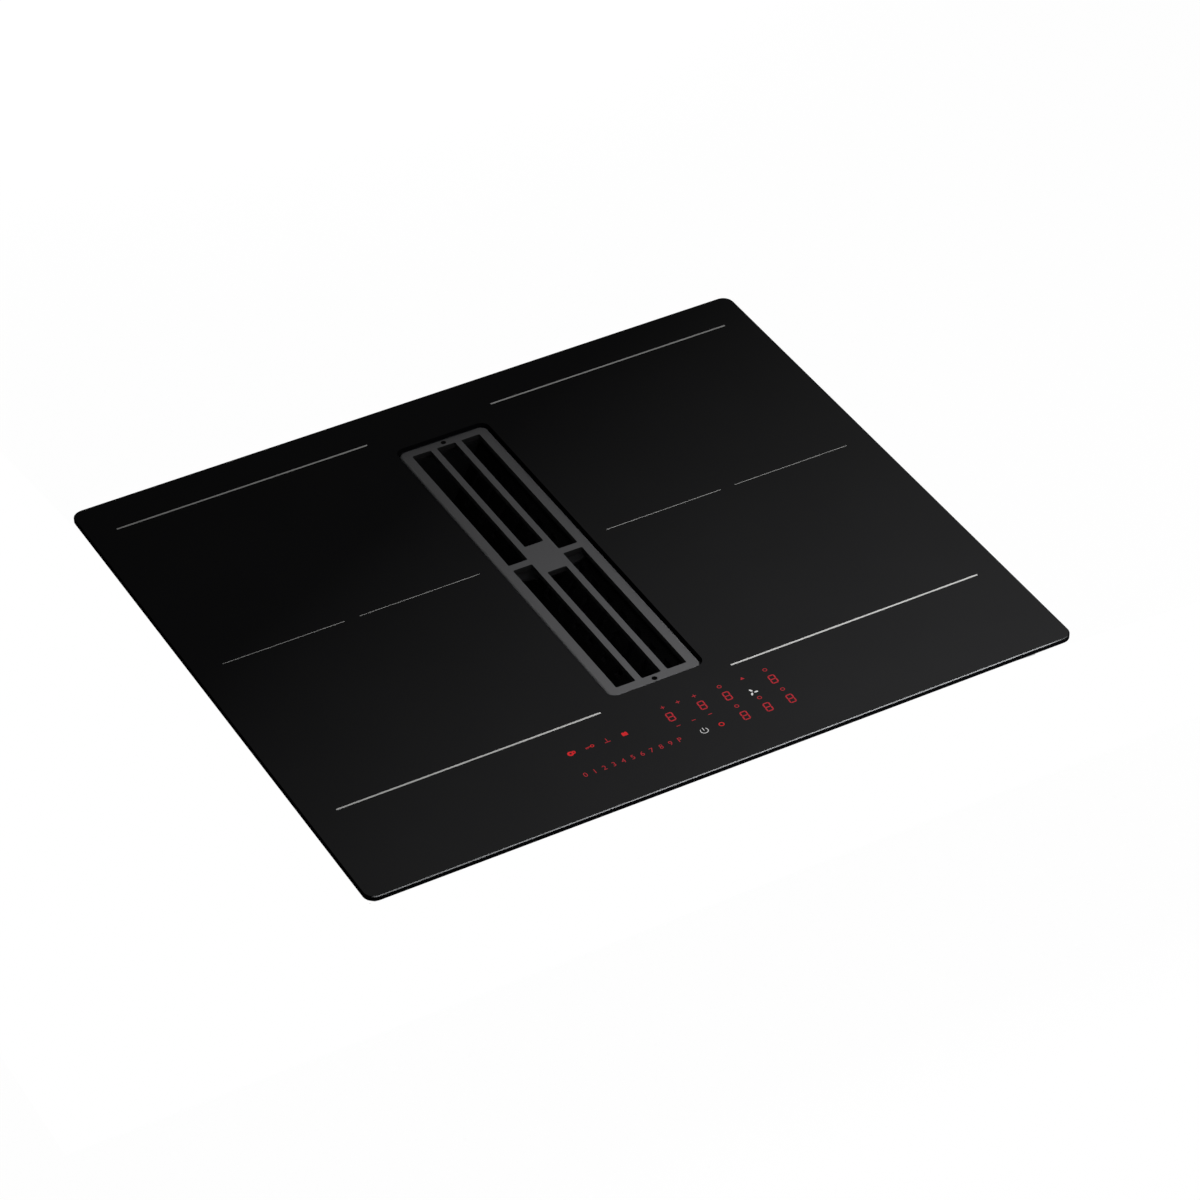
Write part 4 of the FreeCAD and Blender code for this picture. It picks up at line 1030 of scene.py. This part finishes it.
@dataclass
class GlassTop(Assembly):
    """Glass panel with its printed zones and the lit touch control, drawn in millimetres."""

    finishes: dict[str, Finish] = field(default_factory=lambda: {
        "glass_panel": BlackGlass("black_glass"),
        "edge_gasket": Rubber("gasket_rubber"),
        "well_collar": Moulding("collar_plastic", 0.6),
    })
    film: Pair = (GLASS_TOP + 0.004 * MM, GLASS_TOP + 0.03 * MM)
    zone_inner: float = 55.2
    zone_outer: float = 271.4
    zone_rows: Pair = (221.0, -159.8)
    zone_line: float = 1.6
    middle_row: float = 30.6
    middle_line: float = 0.5
    middle_gap: float = 12.4
    slider_text: str = "0123456789P"
    slider_left: float = -98.5
    slider_pitch: float = 7.84
    slider_row: float = -215.4
    slider_height: float = 4.6
    digit_height: float = 10.0
    digit_width: float = 5.8
    digit_bar: float = 1.05
    digit_slant: float = 0.06
    segment_gap: float = 0.15
    upper_digits: Numbers = (-13.1, 13.5, 34.9, 73.9)
    lower_digits: Numbers = (34.9, 54.4, 73.9)
    stroke: float = 0.6
    key_row: float = -189.6
    sign_row: float = -177.4
    dash_row: float = -201.2
    ring_row: float = -203.1
    ring_columns: Numbers = (34.9, 54.3, 74.0)
    ring_radius: float = 1.5
    left_columns: Numbers = (-13.1, -0.3, 13.5)
    timer_column: float = -95.9
    lock_column: float = -81.0
    pause_column: float = -66.7
    pot_column: float = -51.8
    clock_column: float = 14.9
    fan_spot: Point = (53.4, -195.2)
    fan_radius: float = 2.4
    fan_turn: float = 104.0
    blade_turn: float = 15.0
    power_spot: Point = (0.4, -215.4)
    power_radius: float = 2.9
    power_line: float = 0.5
    power_arc: Pair = (135.0, 405.0)
    ink: Finish = ScreenPrint("white_plastic")
    red: Finish = Lit("display_red")
    dim: Finish = Lit("display_red", (0.35, 0.018, 0.027))
    white: Finish = Lit("white_plastic", (0.6, 0.6, 0.6))

    def zones(self) -> None:
        """Print the lines that part the cooking zones."""
        pen = Pen()
        halfway = (self.zone_inner + self.zone_outer) / 2
        runs = ((self.zone_inner, halfway - self.middle_gap / 2),
                (halfway + self.middle_gap / 2, self.zone_outer))
        for side in (-1, 1):
            for row in self.zone_rows:
                pen.bar((side * self.zone_inner, row), (side * self.zone_outer, row), self.zone_line)
            for start, end in runs:
                pen.bar((side * start, self.middle_row), (side * end, self.middle_row), self.middle_line)
        self.add(pen.mesh("zone_lines", *self.film), self.ink)

    def digits(self) -> None:
        """Draw the seven-segment digits with all their segments."""
        pen = Pen()
        tip = self.digit_bar / 2
        half, rise = self.digit_width / 2 - tip, self.digit_height / 2 - tip
        runs = [((-half, level), (half, level)) for level in (-rise, 0.0, rise)]
        runs += [((side, low), (side, low + rise)) for side in (-half, half) for low in (-rise, 0.0)]
        rows = ((self.key_row, self.upper_digits), (self.slider_row, self.lower_digits))
        for x, y in [(x, row) for row, columns in rows for x in columns]:
            pen.at(x, y)
            for start, end in runs:
                run = (Vector(end) - Vector(start)).normalized() * tip
                side = Vector((-run.y, run.x))
                start, end = Vector(start) + run * self.segment_gap, Vector(end) - run * self.segment_gap
                spots = (start, start + run - side, end - run - side,
                         end, end - run + side, start + run + side)
                pen.shape((s.x + s.y * self.digit_slant, s.y) for s in spots)
        self.add(pen.mesh("segment_digits", *self.film), self.dim)

    def numerals(self) -> None:
        """Draw the slider scale from 0 to 9 and its boost mark."""
        letters = Lettering(self.slider_height * MM, *self.film)
        columns = [self.slider_left + index * self.slider_pitch for index in range(len(self.slider_text))]
        glyphs = [letters.mesh(text, (x * MM, self.slider_row * MM))
                  for text, x in zip(self.slider_text, columns)]
        self.add(merged("slider_numerals", glyphs), self.dim)

    def bright_signs(self) -> None:
        """Draw the timer, the bow of the lock key, the pot and the clock."""
        pen = Pen()
        pen.at(self.timer_column, self.key_row)
        pen.arc((-0.7, 0.0), 1.7, 1.5)
        pen.arc((1.9, 0.4), 1.2, 0.9)
        pen.at(self.lock_column, self.key_row)
        pen.arc((2.2, 0.0), 1.2, self.stroke)
        pen.bar((-1.2, 0.0), (0.9, 0.0), self.stroke)
        pen.at(self.pot_column, self.key_row)
        pen.bar((-2.2, -0.6), (2.2, -0.6), 2.8)
        for x in (-1.1, 1.1):
            pen.disc((x, 1.0), 1.1, 1.0)
        pen.at(self.clock_column, self.slider_row)
        pen.arc((0.0, 0.0), 1.85, 0.75)
        self.add(pen.mesh("bright_signs", *self.film), self.red)

    def dim_signs(self) -> None:
        """Draw the plus, dash, ring and arrow round the digits, the key's teeth and the pause sign."""
        pen = Pen()
        for x in self.left_columns:
            pen.at(x, self.dash_row)
            pen.bar((-1.6, 0.0), (1.6, 0.0), self.stroke)
            pen.at(x, self.sign_row)
            pen.bar((-1.7, 0.0), (1.7, 0.0), self.stroke)
            for rise in (-1, 1):
                pen.bar((0.0, rise * self.stroke / 2), (0.0, rise * 1.7), self.stroke)
        for row, columns in ((self.ring_row, self.ring_columns), (self.sign_row, self.ring_columns[::2])):
            for x in columns:
                pen.at(x, row)
                pen.arc((0.0, 0.0), self.ring_radius, self.stroke)
        pen.at(self.ring_columns[1], self.sign_row)
        pen.shape(((-1.7, -1.2), (1.7, -1.2), (0.0, 1.5)))
        pen.at(self.lock_column, self.key_row)
        pen.bar((-3.4, 0.0), (-1.2, 0.0), self.stroke)
        for x in (-3.0, -1.7):
            pen.bar((x, -1.5), (x, -self.stroke / 2), self.stroke)
        pen.at(self.pause_column, self.key_row)
        pen.bar((-2.4, -1.8), (2.4, -1.8), self.stroke)
        pen.bar((0.0, -1.5), (0.0, 2.4), self.stroke)
        self.add(pen.mesh("dim_signs", *self.film), self.dim)

    def white_signs(self) -> None:
        """Draw the fan and the power sign."""
        pen = Pen()
        for turn in (self.fan_turn, self.fan_turn + 120.0, self.fan_turn + 240.0):
            pen.disc(polar(self.fan_spot, self.fan_radius, turn), 1.6, 0.8, turn + self.blade_turn)
        pen.at(*self.power_spot)
        pen.arc((0.0, 0.0), self.power_radius, self.power_line, *self.power_arc)
        pen.bar((0.0, 0.0), (0.0, self.power_radius + self.power_line), self.power_line)
        self.add(pen.mesh("fan_and_power_signs", *self.film), self.white)

    def detail(self) -> None:
        """Print the zones and light the control."""
        self.zones()
        self.digits()
        self.numerals()
        self.bright_signs()
        self.dim_signs()
        self.white_signs()


@dataclass
class AirInlet(Assembly):
    """Grille, its feet and the lift-out grease filter."""

    finishes: dict[str, Finish] = field(default_factory=lambda: {
        # Painted shade: the grille's coat keeps only a small share of its colour on its upright walls, which
        # darkens the slots.
        "air_grille": PowderCoat("grille_coat", 1.65, 0.06),
        "grille_feet": Rubber("foot_silicone", 0.4 * MM, 0.01 * MM, 0.6),
        # Painted shade: the filter's frame, panels and handle are near black for the dark well under the
        # grille.
        "filter_frame": PowderCoat("filter_black", 0.8, 0.5, 0.6),
        "filter_panels": MetalMesh("filter_black"),
        "filter_handle": PowderCoat("filter_black", 0.8, 0.5, 0.6),
    })


@dataclass
class Casing(Assembly):
    """Sheet casing with its springs, rivets, screws and mains entry."""

    finishes: dict[str, Finish] = field(default_factory=lambda: {
        "hob_casing": Galvanised("casing_steel"),
        "retaining_springs": Brushed("spring_steel", Axis.Z, 0.25),
        "cable_gland": Rubber("gasket_rubber", 0.5 * MM, 0.02 * MM, 0.6),
        "terminal_block": Moulding("white_plastic", 0.45),
        "terminal_cover": Moulding("black_plastic", 0.5),
    })
    screw: PanHead = PanHead(3.4 * MM, 1.9 * MM)
    rivet: PanHead = PanHead(2.4 * MM, 1.0 * MM)
    rivet_inset: float = 3.5 * MM
    beneath: tuple[str, ...] = ("scroll_housing", "air_well")
    steel: Finish = Brushed("polished_steel", Axis.X, 0.32)

    def covered(self, place: Vector) -> bool:
        """Whether the blower lies close under a place on the casing floor."""
        return any(low.x < place.x < high.x and low.y < place.y < high.y
                   for low, high in map(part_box, self.beneath))

    def floor_screws(self) -> None:
        """Add screws under the posts of the boards, where they can be reached."""
        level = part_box("hob_casing")[0].z
        places = [Vector((*middle(*box), level)) for box in islands("board_posts")]
        heads = [self.screw.mesh(place, DOWN) for place in places if not self.covered(place)]
        self.add(merged("casing_screws", heads), self.steel)

    def spring_rivets(self) -> None:
        """Add two rivets at the upper foot of each retaining spring."""
        heads = []
        for low, high in islands("retaining_springs"):
            side, wall = (1.0, low.x) if low.x > 0 else (-1.0, high.x)
            for end in (-1, 1):
                y = (low.y + high.y) / 2 + end * (high.y - low.y) / 4
                place = Vector((wall, y, high.z + self.rivet_inset))
                heads.append(self.rivet.mesh(place, Vector((side, 0.0, 0.0))))
        self.add(merged("spring_rivets", heads), self.steel)

    def detail(self) -> None:
        """Add the fasteners."""
        self.floor_screws()
        self.spring_rivets()


@dataclass
class CoilField(Assembly):
    """Induction windings with what carries and insulates them."""

    def __post_init__(self) -> None:
        """List the finishes, with each winding's own centre."""
        for place in ("rear_left", "rear_right", "front_left", "front_right"):
            self.finishes[f"coil_{place}"] = Winding("copper_litz", middle(*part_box(f"coil_{place}")))
            self.finishes[f"coil_former_{place}"] = Moulding("former_plastic", 0.5)
        for side in ("left", "right"):
            self.finishes[f"coil_plate_{side}"] = Brushed("coil_aluminium", Axis.Y, 0.38)
            self.finishes[f"insulation_{side}"] = Mineral("mica_mat", 2.0 * MM, 0.8, 0.3)
        self.finishes["ferrite_bars"] = Mineral("ferrite", 0.5 * MM, 0.75)
        self.finishes["temperature_sensors"] = Mineral("sensor_ceramic", 0.6 * MM, 0.5, 0.12)


@dataclass
class Electronics(Assembly):
    """Power boards, cooling fans and the touch control under the glass."""

    def __post_init__(self) -> None:
        """List the finishes."""
        for side in ("left", "right"):
            self.finishes[f"power_board_{side}"] = CircuitBoard("circuit_board")
            self.finishes[f"heat_sink_{side}"] = Brushed("sink_aluminium", Axis.Y, 0.35)
            self.finishes[f"cooling_fan_frame_{side}"] = Moulding("black_plastic", 0.45)
            self.finishes[f"cooling_rotor_{side}"] = Moulding("black_plastic", 0.4)
        self.finishes |= {
            "board_posts": Moulding("white_plastic", 0.5),
            "capacitors": Sleeved("capacitor_sleeve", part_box("capacitors")[1].z),
            "filter_chokes": Brushed("choke_wire", Axis.Z, 0.35, 0.8 * MM, 0.1, 0.1 * MM),
            "control_carrier": Moulding("white_plastic", 0.5),
            "control_board": CircuitBoard("circuit_board", 3.0 * MM),
            "digit_displays": DisplayWindow("display_red"),
            "touch_springs": Brushed("spring_steel", Axis.Z, 0.25),
        }


@dataclass
class Blower(Assembly):
    """Well, scroll housing, motor, impeller, plenum and overflow tray."""

    finishes: dict[str, Finish] = field(default_factory=lambda: {
        "air_well": Moulding("housing_plastic", 0.52),
        "scroll_housing": Moulding("housing_plastic", 0.5),
        "outlet_frame": Moulding("housing_plastic", 0.5),
        "outlet_seal": Rubber("gasket_rubber"),
        "outlet_spigot": Moulding("housing_plastic", 0.48),
        "outlet_flap_upper": Moulding("black_plastic", 0.45),
        "outlet_flap_lower": Moulding("black_plastic", 0.45),
        "impeller": Moulding("impeller_plastic", 0.4),
        "rotor_cup": Brushed("motor_steel", Axis.Z, 0.3),
        "motor_shaft": Brushed("polished_steel", Axis.Z, 0.15),
        "motor_stator": Laminated("lamination_steel"),
        "motor_bearings": Brushed("polished_steel", Axis.Z, 0.2),
        "motor_dampers": Rubber("foot_silicone", 0.5 * MM, 0.02 * MM, 0.6),
        "inlet_plate": Moulding("housing_plastic", 0.5),
        "inlet_ring": Moulding("housing_plastic", 0.45),
        "plenum_tray": Moulding("housing_plastic", 0.52),
        "drip_tray": Moulding("tray_plastic", 0.42),
        "housing_screws": Brushed("polished_steel", Axis.X, 0.32),
    })

    def detail(self) -> None:
        """Replace the plain screws by heads with a cross recess."""
        heads = []
        for low, high in islands("housing_screws"):
            head = PanHead((high.x - low.x) / 2, high.z - low.z)
            heads.append(head.mesh(Vector((*middle(low, high), high.z)), DOWN))
        screws = self.add(merged("housing_screw_heads", heads), self.finishes["housing_screws"])
        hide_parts("housing_screws")


@dataclass(frozen=True)
class Backdrop:
    """White surface of the stage: plain to light, and white where the camera or a gloss sees it."""

    name: str
    albedo: Colour = (0.8, 0.8, 0.8)
    white_share: float = 0.985
    one_sided: bool = False

    def material(self) -> Material:
        """Build the material.

        Returns:
            The new material.
        """
        skin = Surface(self.name)
        seen = skin.seen_by("Camera").larger(skin.seen_by("Glossy")).larger(skin.seen_by("Transmission"))
        matt = skin.node("ShaderNodeBsdfDiffuse", None, {"Color": self.albedo})
        look = skin.either(seen * self.white_share, matt, skin.glow(1.0))
        if self.one_sided:
            back = skin.node("ShaderNodeNewGeometry", output="Backfacing")
            look = skin.either(back, look, skin.node("ShaderNodeBsdfTransparent"))
        return skin.show_only(look)


def placed(mesh: Mesh, material: Material, *hidden: str) -> Object:
    """Link a mesh as an object of the stage.

    Args:
        mesh: Mesh of the object.
        material: Its material.
        hidden: Kinds of rays that it is hidden from.

    Returns:
        The object.
    """
    mesh.materials.append(material)
    thing = bpy.data.objects.new(mesh.name, mesh)
    bpy.context.scene.collection.objects.link(thing)
    for ray in hidden:
        setattr(thing, f"visible_{ray}", False)
    return thing


@dataclass
class Stage:
    """Pale worktop with its cut-out, the white sheets that show for it, and the floor below."""

    margin: float = 150.0 * MM
    thickness: float = 18.0 * MM
    sink: float = 0.3 * MM
    cutout: Pair = (560.0 * MM, 490.0 * MM)
    floor_reach: float = 6.0
    glass_corner: float = 10.0 * MM
    screen_height: float = 1250.0 * MM
    screen_spare: float = 48.0 * MM
    screen_tuck: float = 12.0 * MM
    screen_gap: float = 0.2 * MM
    front_slope: float = 0.95
    left_slope: float = 1.8
    corner_slope: float = 0.6
    corner_half: float = 5.0 * MM
    corner_run: float = 18.0 * MM

    def worktop(self) -> None:
        """Build the slab round the cut-out."""
        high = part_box("glass_panel")[1]
        pen = Pen(1.0)
        pen.plot(corners(high.x + self.margin, high.y + self.margin))
        pen.plot(corners(self.cutout[0] / 2, self.cutout[1] / 2))
        pen.faces = [[i, (i + 1) % 4, (i + 1) % 4 + 4, i + 4] for i in range(4)]
        slab = pen.mesh("worktop", -self.sink - self.thickness, -self.sink)
        placed(slab, Backdrop("worktop_laminate").material(), "camera")

    def screen(self) -> None:
        """Build the white sheets that hide the body where a camera looks down on the worktop.

        They rise outwards from the front edge, the left edge and the rounded corner between them, and
        are clear from behind, so that a lower camera sees the body under the glass.
        """
        low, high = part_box("glass_panel")
        foot = low.z - self.screen_tuck
        head = foot + self.screen_height
        rise = self.screen_tuck - self.screen_gap
        x, y = low.x + rise / self.left_slope, low.y + rise / self.front_slope
        left, front = x - self.screen_height / self.left_slope, y - self.screen_height / self.front_slope
        right, back = high.x - self.screen_spare, high.y - self.screen_spare
        spots = [(x, y, foot), (right, y, foot), (right, front, head), (left, front, head),
                 (left, back, head), (x, back, foot)]
        tangent = low + Vector((1.0, 1.0, 0.0)) * self.glass_corner * (1.0 - math.sqrt(0.5))
        for run in (0.0, self.corner_run):
            for side in (-self.corner_half, self.corner_half):
                spots.append((tangent.x - run + side, tangent.y - run - side,
                              low.z - self.screen_gap + 2.0 * run * self.corner_slope))
        sheets = plain_mesh("worktop_screen", spots, [[0, 3, 2, 1], [0, 5, 4, 3], [6, 8, 9, 7]])
        placed(sheets, Backdrop("screen_white", white_share=1.0, one_sided=True).material(),
               "diffuse", "glossy", "transmission", "shadow")

    def floor(self) -> None:
        """Build the floor that the part stands on."""
        spots = [(x, y, CAD_BOX[0][2]) for x, y in corners(self.floor_reach, self.floor_reach)]
        placed(plain_mesh("floor", spots, [[0, 1, 2, 3]]), Backdrop("floor_white", one_sided=True).material())

    def build(self) -> None:
        """Build the stage."""
        self.worktop()
        self.screen()
        self.floor()


@dataclass(frozen=True)
class Lamp:
    """Soft rectangular lamp, in metres and watts, that neither the camera nor a gloss sees."""

    name: str
    place: Place
    aim: Place
    size: Pair
    power: float

    def build(self) -> None:
        """Add the lamp to the scene."""
        light = bpy.data.lights.new(self.name, "AREA")
        light.shape = "RECTANGLE"
        light.size, light.size_y = self.size
        light.energy = self.power
        lamp = bpy.data.objects.new(self.name, light)
        lamp.location = self.place
        lamp.rotation_euler = (Vector(self.aim) - Vector(self.place)).to_track_quat("-Z", "Y").to_euler()
        lamp.visible_camera = False
        lamp.visible_glossy = False
        bpy.context.scene.collection.objects.link(lamp)


@dataclass
class Studio:
    """World, a key light and low lamps round the body, a dim card for the glass to mirror, and the camera."""

    ambient: float = 0.05
    horizon: float = 1.0
    zenith: float = 0.015
    sky_turn: Pair = (0.45, 0.12)
    lamps: tuple[Lamp, ...] = (
        Lamp("key", (0.25, -0.4, 0.45), (0.25, -0.4, 0.0), (0.8, 0.2), 4.8),
        Lamp("low_front", (-0.3, -1.3, -0.08), (0.0, 0.0, -0.1), (0.9, 0.1), 12.0),
        Lamp("low_right", (1.3, -0.2, -0.08), (0.0, 0.0, -0.1), (0.9, 0.1), 12.0),
        Lamp("low_rear", (0.3, 1.3, -0.08), (0.0, 0.0, -0.1), (0.9, 0.1), 12.0),
        Lamp("low_left", (-1.3, 0.2, -0.08), (0.0, 0.0, -0.1), (0.9, 0.1), 9.0),
        Lamp("under", (0.2, -0.2, -1.3), (0.0, 0.0, -0.1), (1.2, 1.2), 10.0))
    card_height: float = 1.2
    card_least: float = 0.023
    card_slope: Pair = (0.19, -0.39)
    card_middle: float = 0.086
    card_spare: Pair = (1.15, 1.05)
    camera_place: Place = (-1.2898, -2.4602, 2.1799)
    azimuth: float = -28.248
    elevation: float = 38.401
    roll: float = -1.157
    lens: float = 139.09
    sensor: float = 36.0
    sight: float = 50.0

    def world(self) -> None:
        """White behind the object, and dark overhead for gloss."""
        world = bpy.data.worlds.new("studio")
        world.use_nodes = True
        bpy.context.scene.world = world
        graph = Graph(world.node_tree)
        seen = graph.seen_by("Camera").larger(graph.seen_by("Transmission"))
        gloss = graph.seen_by("Glossy")
        rise = graph.along(graph.node("ShaderNodeTexCoord", output="Generated"), Axis.Z)
        mirrored = rise.ramp(*self.sky_turn) * (self.horizon - self.zenith) + self.zenith
        unseen = gloss * mirrored + (1.0 - gloss) * self.ambient
        background = world.node_tree.nodes["Background"]
        graph.feed(background.inputs["Color"], WHITE)
        graph.feed(background.inputs["Strength"], seen + (1.0 - seen) * unseen)

    def card(self) -> None:
        """Dim graded card that the glass mirrors towards the camera."""
        eye = Vector(self.camera_place)
        reach = self.card_height / (eye.z - GLASS_TOP)
        spread = 1.0 + reach
        half_x, half_y = (spread * CAD_BOX[1][0] * spare for spare in self.card_spare)
        skin = Surface("card_glow")
        slope_x, slope_y = (slope / spread for slope in self.card_slope)
        level = self.card_middle + skin.at(Axis.X) * slope_x + skin.at(Axis.Y) * slope_y
        mesh = plain_mesh("mirrored_card", [(x, y, 0.0) for x, y in corners(half_x, half_y)], [[0, 1, 2, 3]])
        card = placed(mesh, skin.show_only(skin.glow(level.larger(self.card_least))),
                      "camera", "diffuse", "shadow", "transmission")
        card.location = (-eye.x * reach, -eye.y * reach, self.card_height)

    def camera(self) -> None:
        """Camera that looks at the part as the photograph does."""
        turns = zip((self.azimuth, 90.0 - self.elevation, self.roll), "ZXZ")
        turn, tilt, roll = (Matrix.Rotation(math.radians(angle), 4, axis) for angle, axis in turns)
        data = bpy.data.cameras.new("camera")
        data.lens = self.lens
        data.sensor_width = self.sensor
        data.clip_end = self.sight
        camera = bpy.data.objects.new("camera", data)
        camera.matrix_world = Matrix.Translation(self.camera_place) @ turn @ tilt @ roll
        bpy.context.scene.collection.objects.link(camera)
        bpy.context.scene.camera = camera

    def build(self) -> None:
        """Set the world, the lamps, the card and the camera."""
        bpy.context.scene.view_settings.view_transform = "Standard"
        self.world()
        for lamp in self.lamps:
            lamp.build()
        self.card()
        self.camera()


def main() -> None:
    """Build every sub-assembly, then the stage and the studio."""
    logging.basicConfig(level=logging.INFO, format="%(name)s: %(message)s")
    for assembly in (GlassTop(), AirInlet(), Casing(), CoilField(), Electronics(), Blower()):
        assembly.build()
        for piece in assembly.pieces:
            log.info("%s: %s rides on %s", type(assembly).__name__, piece.name, piece["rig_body"])
    Stage().build()
    Studio().build()


if __name__ == "__main__":
    main()
